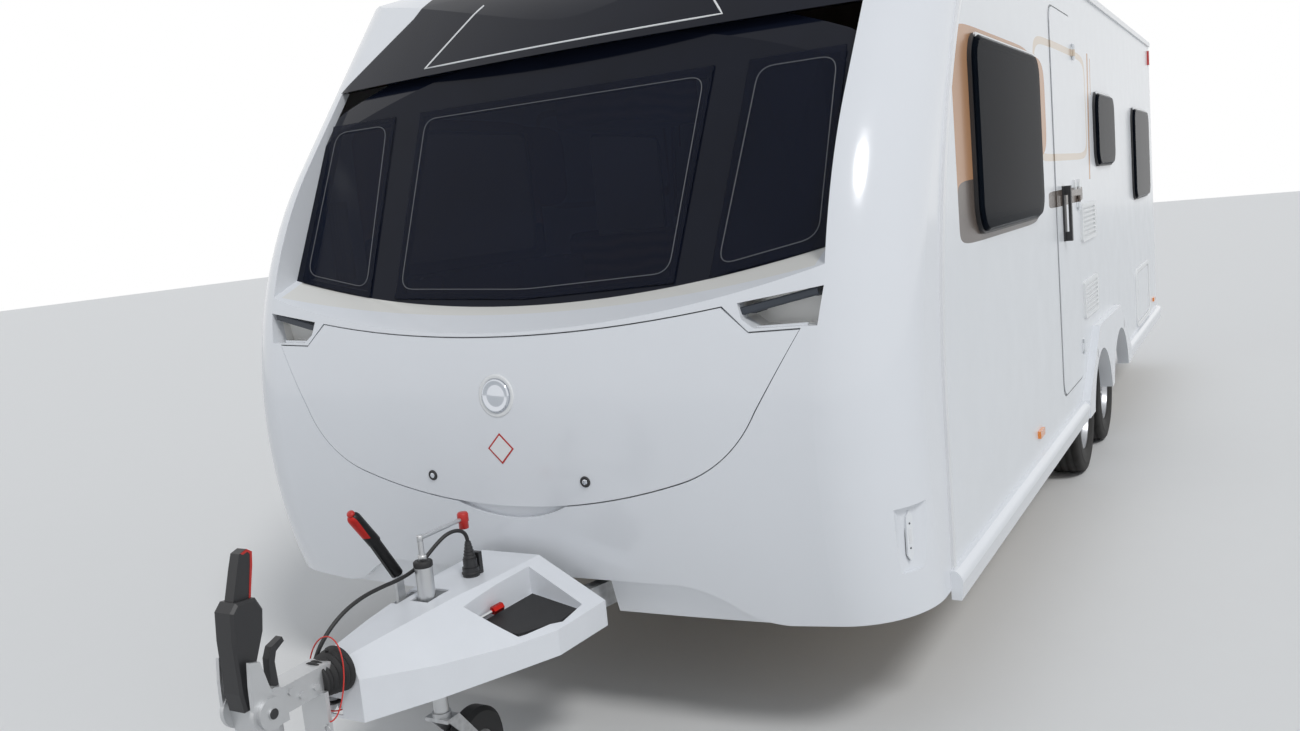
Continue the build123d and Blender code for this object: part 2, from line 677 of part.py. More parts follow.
# Wheel spats and skirts
spat_top_z = 770.0
arch_r = 340.0
spat_mid_y = front_axle_y + wheel_spacing / 2
spat_half = 865.0
spat_points = [(-spat_half, skirt_bottom_z), (-spat_half, skirt_top_z), (-430, spat_top_z), (430, spat_top_z),
               (spat_half, skirt_top_z), (spat_half, skirt_bottom_z)]
spat_points = [(spat_mid_y + y, z) for y, z in spat_points]
spat = across(spat_points, half_width, side_reach)
spat += across(spat_points, half_width - wall, half_width) & arch_opening
for wheel_y in (front_axle_y, front_axle_y + wheel_spacing):
    spat -= extrude(Plane.YZ.offset(1100) * Pos(wheel_y, tyre_r) * Circle(arch_r), amount=200)
save(both_sides(spat), "wheel_spats")

skirt_profile = [
    Line((half_width, skirt_top_z), (half_width + 16, skirt_top_z)),
    ThreePointArc((half_width + 16, skirt_top_z), (side_reach - 5.1, skirt_top_z - 14.5), (side_reach, skirt_top_z - 34)),
    Line((side_reach, skirt_top_z - 34), (side_reach - 6, skirt_bottom_z)),
    Line((side_reach - 6, skirt_bottom_z), (half_width, skirt_bottom_z)),
    Line((half_width, skirt_bottom_z), (half_width, skirt_top_z)),
]
skirts = across_prism(skirt_profile, seam_y - 25, spat_mid_y - spat_half)
skirts += across_prism(skirt_profile, spat_mid_y + spat_half, rear_seam_y)
save(both_sides(skirts), "skirts")

# Awning rails along the eaves and the corner strips over the front seams
rail = block(half_width, rail_reach, -1560, rear_seam_y, eaves_z - 34, eaves_z - 4)
strip_width = 26.0
strip = (Pos(0, strip_width, 0) * ahead) - ahead
strip = strip & block(half_width, rail_reach - 2, -2600, -1500, skirt_top_z, eaves_z - 38)
save(both_sides(rail + strip), "awning_rails")

# Entrance door with its handle: its hinge knuckles turn on pins that stand on lugs of the wall
door_pin_x, door_pin_y, door_pin_r = 1201.0, 107.0, 4.0
hinge_height = 70.0
hinge_z_table = [720.0, 1400.0, 2090.0]


def door_hinge(z):
    """One hinge: the door's leaf and knuckle, and the wall's lug and pin."""
    knuckle_r = 8.0
    low, high = z - hinge_height / 2, z + hinge_height / 2
    middle = (low + 15, high - 15)
    hole = Pos(door_pin_x, door_pin_y, z) * Cylinder(door_pin_r + running_clearance, hinge_height + 2)
    knuckle = Pos(door_pin_x, door_pin_y, z) * Cylinder(knuckle_r, middle[1] - middle[0] - 1)
    leaf = block(half_width + 4, door_pin_x - 3, door_rear_y - 40, door_pin_y - 3, middle[0] + 0.5, middle[1] - 0.5)
    lugs = Pos(door_pin_x, door_pin_y, (low + middle[0]) / 2) * Cylinder(knuckle_r, middle[0] - low)
    lugs += Pos(door_pin_x, door_pin_y, (high + middle[1]) / 2) * Cylinder(knuckle_r, high - middle[1])
    plate = block(half_width, door_pin_x - 3, door_pin_y + 1, door_pin_y + 40, low, middle[0])
    plate += block(half_width, door_pin_x - 3, door_pin_y + 1, door_pin_y + 40, middle[1], high)
    plate += block(half_width, door_pin_x - 3, door_pin_y + 12, door_pin_y + 40, low, high)
    pin = Pos(door_pin_x, door_pin_y, z) * Cylinder(door_pin_r, hinge_height)
    return (knuckle + leaf) - hole, lugs + plate + pin


wall_hinges = Part()
door_knuckles = Part()
for z in hinge_z_table:
    turning, standing = door_hinge(z)
    door_knuckles += turning
    wall_hinges += standing
door = rounded_opening(half_width - wall, half_width + 4, door_front_y + panel_gap, door_rear_y - panel_gap,
                       door_bottom_z + panel_gap, door_top_z - panel_gap, door_corner_r - panel_gap)
save(door + door_knuckles, "door")
handle_y, handle_z0, handle_z1 = -290.0, 1250.0, 1490.0
handle = block(half_width + 4, half_width + 12, handle_y - 28, handle_y + 28, handle_z0, handle_z1)
handle += block(half_width + 12, half_width + 38, handle_y - 14, handle_y + 14, handle_z0, handle_z0 + 40)
handle += block(half_width + 12, half_width + 38, handle_y - 14, handle_y + 14, handle_z1 - 40, handle_z1)
handle += block(half_width + 26, half_width + 38, handle_y - 14, handle_y + 14, handle_z0, handle_z1)
save(handle, "door_handle")

save(wall_near + wall_hinges, "wall_nearside")

# Service hatch door
hatch = rounded_opening(half_width - wall, half_width + 3, hatch_front_y + panel_gap, hatch_rear_y - panel_gap,
                        hatch_bottom_z + panel_gap, hatch_top_z - panel_gap, 36)
save(hatch, "service_hatch")

# Vents in the nearside wall: y0, y1, z0, z1
vent_table = [(195.0, 630.0, 1210.0, 1390.0), (195.0, 630.0, 840.0, 1020.0)]
vents = Part()
for y0, y1, z0, z1 in vent_table:
    vent = rounded_opening(half_width, half_width + 12, y0, y1, z0, z1, 14)
    slots = 7
    pitch = (z1 - z0 - 30) / slots
    for k in range(slots):
        z = z0 + 15 + k * pitch
        vent -= block(half_width + 4, half_width + 13, y0 + 22, y1 - 22, z + 3, z + pitch - 5)
    vents += vent
save(vents, "vents")

# Grab handles in the pockets above the lid's corners
grab_in = (772.0, -2800.0, 1273.0)
grab_out = (980.0, -2772.0, 1316.0)
grip_line = Line(grab_in, grab_out)
grip_plane = Plane(origin=grab_in, z_dir=Vector(*grab_out) - Vector(*grab_in))
grip = extrude(grip_plane * RectangleRounded(22, 32, 6), amount=grip_line.length)
grip += block(784, 810, -2796, pocket_back_y, 1266, 1286) + block(948, 978, -2770, pocket_back_y, 1302, 1322)
save(both_sides(grip - front_panel), "grab_handles")

# Lamps: side markers, front corner markers, rear clusters
lamps = Part()
for y, z in ((-1040.0, 555.0), (1735.0, 555.0), (3550.0, 545.0)):
    lamps += both_sides(block(half_width, half_width + 12, y - 45, y + 45, z - 14, z + 14))
lamps += both_sides(block(half_width, half_width + 14, 3650, 3690, 2250, 2350))
rear_cluster = extrude(on_xz(rear_y + 30) * Pos(1000, 1050) * RectangleRounded(140, 580, 40), amount=30)
lamps += both_sides(rear_cluster)

# Corner lamps: an upright lozenge on the wall of each scoop
scoop_lamp_half, scoop_lamp_tall = 11.0, 69.0
scoop_facing = Plane(origin=(1143, -2680, 643), x_dir=(sin(radians(60)), cos(radians(60)), 0),
                     z_dir=(cos(radians(-30)), sin(radians(-30)), 0))
lozenge = make_face(Polyline((0, -scoop_lamp_tall), (scoop_lamp_half, -scoop_lamp_tall + 16),
                             (scoop_lamp_half, scoop_lamp_tall - 16), (0, scoop_lamp_tall),
                             (-scoop_lamp_half, scoop_lamp_tall - 16), (-scoop_lamp_half, -scoop_lamp_tall + 16),
                             close=True))
scoop_lamp = extrude(scoop_facing.offset(-1) * lozenge, amount=11)
lamps += both_sides(scoop_lamp - Pos(0.26, -0.15, 0) * front_panel)
save(lamps, "lamps")

# Rear bumper
bumper = block(-1150, 1150, rear_y, 3950, 400, 600)
bumper = fillet(bumper.edges().filter_by(Axis.Z).sort_by(Axis.Y)[-2:], 40)
save(bumper, "rear_bumper")

# Drawbar cover: a raised spine with sloping flanks, lofted from the nose back, with two foot wells
cover_low_z, cover_skin = 395.0, 5.0
cover_top_z = 590.0
cable_hole_x, cable_hole_z, cable_hole_r = -46.0, 425.0, 16.0   # where the trailer cable passes through
# y, half width, shoulder z, half width of the spine, spine z
cover_table = [
    (-3635.0, 60.0, 505.0, 36.0, 566.0),
    (-3460.0, 160.0, 482.0, 62.0, 580.0),
    (-3270.0, 248.0, 466.0, 84.0, cover_top_z),
    (-3140.0, 306.0, 466.0, 96.0, cover_top_z),
    (-2915.0, 320.0, 470.0, 104.0, cover_top_z),
]


def cover_form(inset):
    """The outer form of the cover, or its hollow when drawn in."""
    sections = []
    for row, (y, half, shoulder_z, spine_half, spine_z) in enumerate(cover_table):
        if row == 0:
            y += inset
        low = [(half - inset, cover_low_z), (half - inset, shoulder_z - inset / 2),
               (spine_half - inset / 2, spine_z - inset)]
        points = low + [(-x, z) for x, z in reversed(low)]
        sections.append(on_xz(y) * make_face(Polyline(*points, close=True)))
    return loft(sections, ruled=True)


well_plan = [(112, -3285), (248, -3236), (296, -3100), (290, -2990), (118, -2990)]
well_inner_z, well_outer_z = 500.0, 462.0


def foot_well(side, drop, margin=0.0):
    """Space over one foot well, whose floor slopes down outwards."""
    plan = make_face(Polyline(*[(side * x, y) for x, y in well_plan], close=True))
    if margin:
        plan = offset(plan, margin, kind=Kind.INTERSECTION)
    section = [(side * 60, well_inner_z + 11 - drop), (side * 330, well_outer_z - 7 - drop), (side * 330, 800),
               (side * 60, 800)]
    wedge = extrude(on_xz(-2800) * make_face(Polyline(*section, close=True)), amount=700)
    return wedge & extrude(Plane.XY.offset(300) * plan, amount=600)


cover = cover_form(0)
core = cover_form(cover_skin)
for side in (1, -1):
    cover -= foot_well(side, 0)
    core -= foot_well(side, cover_skin, cover_skin)
cover -= core
jockey_y = -3296.0
nose_hole_z, nose_hole_r = 520.0, 38.0
cover -= Pos(0, -3630, nose_hole_z) * Rot(90, 0, 0) * Cylinder(nose_hole_r, 120)
cover -= block(84, 109, -3332, -3281, 474, 534)
cover -= block(96, 128, -3300, -3232, 502, 524)
cover -= Pos(0, jockey_y + 12, 560) * Box(62, 92, 120)
cover -= Pos(-75, -3312, 560) * Box(44, 90, 120)
cover -= block(cable_hole_x - cable_hole_r, cable_hole_x + 36, -3700, -3600, cable_hole_z - 22, cable_hole_z + 22)
save(cover, "drawbar_cover")
pad_thickness = 8.0
pads = Part()
for side in (1, -1):
    pad = foot_well(side, 0, -12) - foot_well(side, -pad_thickness, -11)
    pads += pad
save(pads, "step_pads")

# Jockey stand: outer tube, inner tube, clamp and crank on the body; fork and wheel turn below
tube_r, inner_tube_r = 24.0, 21.0
stand_bottom_z = 360.0
fork_pivot_z = 262.0
jockey = Pos(0, jockey_y, 0) * extrude(Plane.XY.offset(stand_bottom_z) * Circle(tube_r), amount=686 - stand_bottom_z)
jockey += Pos(0, jockey_y, 0) * extrude(Plane.XY.offset(fork_pivot_z) * Circle(inner_tube_r),
                                        amount=stand_bottom_z - fork_pivot_z)
crank_z = 752.0
jockey += Pos(0, jockey_y, 0) * extrude(Plane.XY.offset(686) * Circle(8), amount=crank_z - 686)
jockey += extrude(on_xz(jockey_y) * Pos(0, crank_z) * Circle(6), amount=-185)
jockey += Pos(0, -3111, crank_z - 28) * Cylinder(12, 46, align=(Align.CENTER, Align.CENTER, Align.MIN))
jockey += block(-110, 110, jockey_y - 30, jockey_y + 30, 420, 480)
jockey += block(92, 108, jockey_y - 18, jockey_y - 2, 480, 514)
clamp_start, clamp_end = Vector(100, jockey_y - 6, 506), Vector(140, -3158, 526)
clamp_rod = Plane(origin=clamp_start, z_dir=clamp_end - clamp_start)
clamp_length = (clamp_end - clamp_start).length
jockey += extrude(clamp_rod * Circle(5), amount=clamp_length)
jockey += extrude(clamp_rod.offset(clamp_length - 34) * RegularPolygon(12, 6), amount=34)
save(jockey - drawbar, "jockey_stand")
jockey_r, jockey_width, jockey_trail = 108.0, 58.0, 120.0
axle_point = (jockey_y + jockey_trail, jockey_r)
fork = Pos(0, jockey_y, fork_pivot_z - 12) * Cylinder(26, 24 - 2 * epsilon)
yoke = make_face(Polyline((jockey_y - 26, fork_pivot_z - 12), (jockey_y + 26, fork_pivot_z - 12),
                          (axle_point[0] + 16, axle_point[1] + 4), (axle_point[0], axle_point[1] - 18),
                          (axle_point[0] - 16, axle_point[1]), close=True))
cheek = extrude(on_yz(34) * yoke, amount=5)
fork += both_sides(cheek) + block(-39, 39, jockey_y - 26, jockey_y + 26, fork_pivot_z - 23, fork_pivot_z - 12)
fork += extrude(on_yz(-39) * Pos(*axle_point) * Circle(8), amount=78)
save(fork, "jockey_fork")
jockey_wheel = extrude(on_yz(-jockey_width / 2) * Pos(*axle_point) * (Circle(jockey_r) - Circle(8 + running_clearance)),
                       amount=jockey_width)
jockey_wheel = chamfer(jockey_wheel.edges().filter_by(GeomType.CIRCLE).sort_by(SortBy.RADIUS)[-2:], 12)
save(jockey_wheel, "jockey_wheel")

# Coupling: a draw channel, a cast head over the ball cup, friction covers and the arms of the lever
ball_y, ball_bore_r, ball_cup_z = -3880.0, 25.2, 425.0
friction_y, friction_z, friction_r = -3902.0, 542.0, 46.0
channel_half, channel_low_z, channel_top_z = 32.0, 508.0, 572.0
coupling = block(-channel_half, channel_half, -3868, -3690, channel_low_z, channel_top_z)
coupling += extrude(on_xz(drawbar_tip_y + 40) * Pos(0, 530) * Circle(22), amount=140)
coupling -= block(-channel_half + 6, channel_half - 6, -3840, -3730, channel_low_z - 1, channel_top_z - 8)
coupling += block(-30, 30, drawbar_tip_y, drawbar_tip_y + 40, drawbar_top, channel_low_z + 12)
coupling += Pos(0, ball_y, ball_cup_z) * Cylinder(42, 83, align=(Align.CENTER, Align.CENTER, Align.MIN))
coupling += across([(-3924, 496), (-3840, 496), (-3840, 572), (-3868, 586), (-3912, 584), (-3930, 560)], -42, 42)
friction_cover = extrude(on_yz(42) * Pos(friction_y, friction_z) * Circle(friction_r), amount=12)
friction_cover += extrude(on_yz(54) * Pos(friction_y, friction_z) * Circle(friction_r - 10), amount=10)
friction_cover += extrude(on_yz(64) * Pos(friction_y, friction_z) * Circle(13), amount=4)
lever_arm = across([(-3944, 560), (-3942, 620), (-3936, 672), (-3908, 664), (-3892, 600), (-3880, 560)], 44, 54)
coupling += both_sides(friction_cover + lever_arm)
for bolt_y, bolt_z in ((-3820, 553), (-3790, 531), (-3745, 532)):
    coupling += both_sides(extrude(on_yz(channel_half) * Pos(bolt_y, bolt_z) * RegularPolygon(9, 6), amount=6))
coupling += block(-35, 48, -3736, -3724, 400, channel_low_z + 6)
coupling -= Pos(0, ball_y, ball_cup_z) * Cylinder(ball_bore_r, 60, align=(Align.CENTER, Align.CENTER, Align.MIN))
coupling -= Pos(0, ball_y, ball_cup_z + 60) * Sphere(ball_bore_r)
save(coupling - drawbar, "coupling")

# The gaiter's folds grow towards the cover
gaiter_front_y, gaiter_rear_y, gaiter_z, folds = -3720.0, -3640.0, 530.0, 5
gaiter_front_r, gaiter_rear_r, fold_depth = 44.0, 58.0, 7.0
fold_points = []
for k in range(2 * folds + 1):
    share = k / (2 * folds)
    radius = gaiter_front_r + share * (gaiter_rear_r - gaiter_front_r) - (fold_depth if k % 2 else 0)
    fold_points.append((gaiter_front_y + share * (gaiter_rear_y - gaiter_front_y), gaiter_z + radius))
fold_points += [(gaiter_rear_y, gaiter_z), (gaiter_front_y, gaiter_z)]
gaiter = revolve(on_yz(0) * make_face(Polyline(*fold_points, close=True)),
                 Axis((0, 0, gaiter_z), (0, 1, 0)), 360)
save(gaiter - coupling - drawbar, "gaiter")

# Stabiliser lever: a slim grip that widens into a long body, and the small uncoupling handle behind it
lever_half, grip_half = 30.0, 14.0
lever = across([(-3944, 556), (-3950, 600), (-3950, 720), (-3944, 784), (-3926, 802), (-3872, 796), (-3856, 764),
                (-3864, 716), (-3886, 668), (-3916, 604), (-3924, 556)], -lever_half, lever_half)
lever = chamfer(lever.edges().filter_by(Axis.X, reverse=True).group_by(Axis.X)[0], 6)
lever = chamfer(lever.edges().filter_by(Axis.X, reverse=True).group_by(Axis.X)[-1], 6)
lever += across([(-3926, 790), (-3900, 868), (-3888, 900), (-3868, 906), (-3854, 896), (-3858, 868), (-3876, 786)],
                -grip_half, grip_half)
uncoupler = across([(-3852, channel_top_z), (-3848, 640), (-3836, 664), (-3802, 676), (-3798, 664), (-3824, 650),
                    (-3832, 628), (-3830, channel_top_z)], -10, 10)
save((lever + uncoupler) - coupling, "stabiliser_lever")

# Handbrake: a flat bar that stands on the clamp block, with a sleeve and a grip on it
brake_x = -75.0
brake = across([(-3330, 480), (-3300, 480), (-3302, 650), (-3380, 772), (-3402, 758), (-3330, 640)],
               brake_x - 5, brake_x + 5)


def brake_tube(start, end, radius):
    """A round sleeve on the lever between two (y, z) points."""
    origin = Vector(brake_x, *start)
    reach = Vector(brake_x, *end) - origin
    return extrude(Plane(origin=origin, z_dir=reach) * Circle(radius), amount=reach.length)


brake += brake_tube((-3317, 656), (-3391, 772), 15)
brake += brake_tube((-3388, 767), (-3447, 846), 18)
brake += Pos(brake_x, -3447, 846) * Sphere(18)
save(brake - drawbar - cover, "handbrake")

# Corner steadies, wound up under the floor: name, y of the hinge, way the leg lies
leg_half = 12.0
steady_table = [("front", steady_front_y - cross_width / 2, 1), ("rear", steady_rear_y, -1)]
for name, y, way in steady_table:
    leg = block(steady_x - 23.9, steady_x + 23.9, y, y + way * 420, steady_z - leg_half, steady_z + leg_half)
    leg += extrude(on_yz(steady_x - 23.9) * Pos(y, steady_z) * Circle(leg_half), amount=47.8)
    leg += block(steady_x - 40, steady_x + 40, y + way * 380, y + way * 420, steady_z - leg_half, steady_z + leg_half)
    leg -= extrude(on_yz(steady_x - 30) * Pos(y, steady_z) * Circle(steady_pin_r + running_clearance), amount=60)
    save(leg, f"steady_{name}_nearside")
    save(mirrored(leg), f"steady_{name}_offside")

# Plain interior seen through the glass
seat_back_y = -2370.0
bases = both_sides(block(520, inner_x, seat_back_y, -700, floor_top, 860))
cushions = both_sides(block(520, inner_x - 140, seat_back_y, -700, 860, 980)
                      + block(inner_x - 130, inner_x, seat_back_y, -700, 860, 1380))
save(cushions, "seat_cushions")
furniture = bases + block(-260, 260, seat_back_y, -2000, floor_top, 1150)
furniture += block(-inner_x, -600, -640, 170, floor_top, 1450)
furniture += block(-inner_x, -760, -640, 170, 2000, 2330)
furniture += block(600, inner_x, 180, 720, arch_top_z + well_wall, 2330)
furniture += block(-inner_x, 300, 2500, 3740, floor_top, 930)
furniture += block(-inner_x, -200, 1900, 1930, floor_top, 2380) + block(500, inner_x, 1900, 1930, floor_top, 2380)
save(furniture - floor, "furniture")
curtains = both_sides(block(inner_x - 90, inner_x - epsilon, -2320, -2280, 1400, 1700))
save(curtains, "curtains")


def cord_path(points):
    """Straight runs joined by arcs as large as the two runs allow, with the arcs' radii."""
    vectors = [Vector(*p) for p in points]
    radii = []
    for before, here, after in zip(vectors, vectors[1:], vectors[2:]):
        run_in, run_out = here - before, after - here
        half_turn = radians(run_in.get_angle(run_out) / 2)
        radii.append(0.45 * min(run_in.length, run_out.length) / tan(half_turn))
    return FilletPolyline(*vectors, radius=radii), radii


def cord(points, diameter, node):
    """A free cord as a plain tube along its route."""
    path, radii = cord_path(points)
    start = Plane(origin=points[0], z_dir=Vector(*points[1]) - Vector(*points[0]))
    tube = sweep(start * Circle(diameter / 2), path=path)
    expected = pi * diameter**2 / 4 * path.length
    print(node, "length", round(path.length), "mm, volume ratio", round(tube.volume / expected, 4),
          "radii", [round(r) for r in radii])
    save(tube, node)
    return tube


# Trailer plug parked in its holder on the cover, with its cable looping forward to the drawbar's nose
plug_x, plug_y, plug_top_z = 16.0, -3122.0, 690.0
plug = Pos(plug_x, plug_y, cover_top_z) * Cylinder(24, 26, align=(Align.CENTER, Align.CENTER, Align.MIN))
plug += Pos(plug_x, plug_y, cover_top_z) * Cylinder(20, 50, align=(Align.CENTER, Align.CENTER, Align.MIN))
plug += block(plug_x - 17, plug_x + 17, plug_y + 20, plug_y + 34, cover_top_z, cover_top_z + 62)
plug += Pos(plug_x, plug_y, cover_top_z + 50) * Cone(17, 8, plug_top_z - cover_top_z - 50,
                                                   align=(Align.CENTER, Align.CENTER, Align.MIN))
save(plug, "plug")
cable_diameter = 11.0
cable_route = [
    (plug_x, plug_y, plug_top_z), (16, -3123, 712), (8, -3147, 731), (-4, -3184, 729), (-17, -3216, 708),
    (-29, -3242, 685), (-38, -3280, 660), (-43, -3340, 650), (-40, -3415, 655), (-38, -3490, 655),
    (-42, -3556, 640), (-52, -3608, 606), (-63, -3646, 560), (-66, -3662, 508), (-62, -3660, 464),
    (-52, -3645, 434), (cable_hole_x, drawbar_tip_y - 22, cable_hole_z), (cable_hole_x, drawbar_tip_y, cable_hole_z),
]
cord(cable_route, cable_diameter, "cable")
breakaway_route = [
    (-20, drawbar_tip_y, 412), (-22, -3628, 411), (-34, -3660, 422), (-52, -3678, 452), (-62, -3678, 510),
    (-58, -3670, 566), (-34, -3662, 608), (2, -3658, 622), (38, -3664, 606), (60, -3676, 562), (64, -3690, 508),
    (63, -3708, 466), (59, -3726, 444), (48, -3730, 440),
]
cord(breakaway_route, 3.5, "breakaway_cable")
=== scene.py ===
import bpy
import math
from mathutils import Matrix, Vector


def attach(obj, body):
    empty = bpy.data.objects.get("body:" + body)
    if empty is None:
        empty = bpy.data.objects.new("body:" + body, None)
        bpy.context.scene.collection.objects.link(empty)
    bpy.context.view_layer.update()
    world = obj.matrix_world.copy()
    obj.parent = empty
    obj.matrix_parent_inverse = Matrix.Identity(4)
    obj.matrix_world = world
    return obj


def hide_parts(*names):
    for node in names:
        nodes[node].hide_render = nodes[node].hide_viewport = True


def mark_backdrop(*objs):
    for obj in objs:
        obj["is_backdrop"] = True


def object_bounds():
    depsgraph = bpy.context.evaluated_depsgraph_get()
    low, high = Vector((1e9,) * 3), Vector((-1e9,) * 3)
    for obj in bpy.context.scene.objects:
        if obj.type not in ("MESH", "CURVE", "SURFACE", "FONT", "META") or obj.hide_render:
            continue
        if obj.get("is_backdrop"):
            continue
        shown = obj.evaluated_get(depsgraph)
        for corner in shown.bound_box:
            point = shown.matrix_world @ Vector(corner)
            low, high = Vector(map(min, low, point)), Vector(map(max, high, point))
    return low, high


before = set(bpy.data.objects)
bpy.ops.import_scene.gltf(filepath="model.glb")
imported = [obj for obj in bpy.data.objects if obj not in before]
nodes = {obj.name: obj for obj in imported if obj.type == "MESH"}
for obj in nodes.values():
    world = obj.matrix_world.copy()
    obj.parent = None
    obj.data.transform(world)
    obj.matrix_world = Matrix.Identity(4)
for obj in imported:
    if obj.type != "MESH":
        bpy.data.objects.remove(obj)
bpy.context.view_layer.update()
scene = bpy.context.scene
scene.view_settings.view_transform = "Standard"
sides = (("nearside", 1), ("offside", -1))


# Camera: the photograph's place, turn and lens, solved from the wheels, the door and the front.
# Yaw turns it towards the offside, pitch looks down and roll tilts the picture.
camera_place = Vector((2.018, -5.503, 1.568))
yaw, pitch, roll = math.radians(29.73), math.radians(8.0), math.radians(-5.44)
ahead = Vector((-math.sin(yaw) * math.cos(pitch), math.cos(yaw) * math.cos(pitch), -math.sin(pitch)))
level = Vector((math.cos(yaw), math.sin(yaw), 0))
upward = level.cross(ahead)
right = math.cos(roll) * level + math.sin(roll) * upward
upright = -math.sin(roll) * level + math.cos(roll) * upward
lens = bpy.data.cameras.new("camera")
focal_mm, sensor_mm, far_limit = 31.04, 36.0, 200
lens.lens, lens.sensor_width, lens.clip_end = focal_mm, sensor_mm, far_limit
camera = bpy.data.objects.new("camera", lens)
scene.collection.objects.link(camera)
camera.matrix_world = Matrix((
    (right.x, upright.x, -ahead.x, camera_place.x),
    (right.y, upright.y, -ahead.y, camera_place.y),
    (right.z, upright.z, -ahead.z, camera_place.z),
    (0, 0, 0, 1)))
scene.camera = camera


# Cords: the trailer cable from the drawbar's nose up to its parked plug, and the red breakaway cable.
# Their control points are the route points of the CAD tubes, in metres. The bevel is one metre deep, so
# each point's radius is the cord's own.
def rope(name, points, diameter, node):
    curve = bpy.data.curves.new(name, "CURVE")
    curve.dimensions = "3D"
    curve.bevel_depth, curve.bevel_resolution = 1.0, 4
    curve.resolution_u, curve.use_fill_caps = 10, True
    line = curve.splines.new("NURBS")
    line.points.add(len(points) - 1)
    for spot, point in zip(line.points, points):
        spot.co = (*point, 1)
        spot.radius = diameter / 2
    line.order_u = 3
    line.use_endpoint_u = True
    cord = bpy.data.objects.new(name, curve)
    scene.collection.objects.link(cord)
    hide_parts(node)
    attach(cord, "caravan")
    return cord


cable_points = [
    (-.046, -3.600, .425), (-.046, -3.622, .425), (-.052, -3.645, .434), (-.062, -3.660, .464),
    (-.066, -3.662, .508), (-.063, -3.646, .560), (-.052, -3.608, .606), (-.042, -3.556, .640),
    (-.038, -3.490, .655), (-.040, -3.415, .655), (-.043, -3.340, .650), (-.038, -3.280, .660),
    (-.029, -3.242, .685), (-.017, -3.216, .708), (-.004, -3.184, .729), (.008, -3.147, .731),
    (.016, -3.123, .712), (.016, -3.122, .690)]
cable = rope("trailer_cable", cable_points, diameter=.011, node="cable")
breakaway_points = [
    (-.020, -3.600, .412), (-.022, -3.628, .411), (-.034, -3.660, .422), (-.052, -3.678, .452),
    (-.062, -3.678, .510), (-.058, -3.670, .566), (-.034, -3.662, .608), (.002, -3.658, .622),
    (.038, -3.664, .606), (.060, -3.676, .562), (.064, -3.690, .508), (.063, -3.708, .466),
    (.059, -3.726, .444), (.048, -3.730, .440)]
breakaway = rope("breakaway_rope", breakaway_points, diameter=.0035, node="breakaway_cable")


# Materials: a wire is a shader socket that can be added, multiplied and compared.
# Every surface is built from noise, cells or waves in the object's own coordinates.
class Wire:
    def __init__(self, tree, socket):
        self.tree, self.socket = tree, socket

    def _math(self, operation, first, second=None):
        node = self.tree.nodes.new("ShaderNodeMath")
        node.operation = operation
        for place, value in enumerate((first, second)):
            if isinstance(value, Wire):
                self.tree.links.new(value.socket, node.inputs[place])
            elif value is not None:
                node.inputs[place].default_value = value
        return Wire(self.tree, node.outputs[0])

    def __add__(self, other):
        return self._math("ADD", self, other)

    def __radd__(self, other):
        return self._math("ADD", other, self)

    def __sub__(self, other):
        return self._math("SUBTRACT", self, other)

    def __rsub__(self, other):
        return self._math("SUBTRACT", other, self)

    def __mul__(self, other):
        return self._math("MULTIPLY", self, other)

    def __rmul__(self, other):
        return self._math("MULTIPLY", other, self)

    def __pow__(self, other):
        return self._math("POWER", self, other)

    def __abs__(self):
        return self._math("ABSOLUTE", self)

    def over(self, edge):
        return self._math("GREATER_THAN", self, edge)

    def under(self, edge):
        return self._math("LESS_THAN", self, edge)


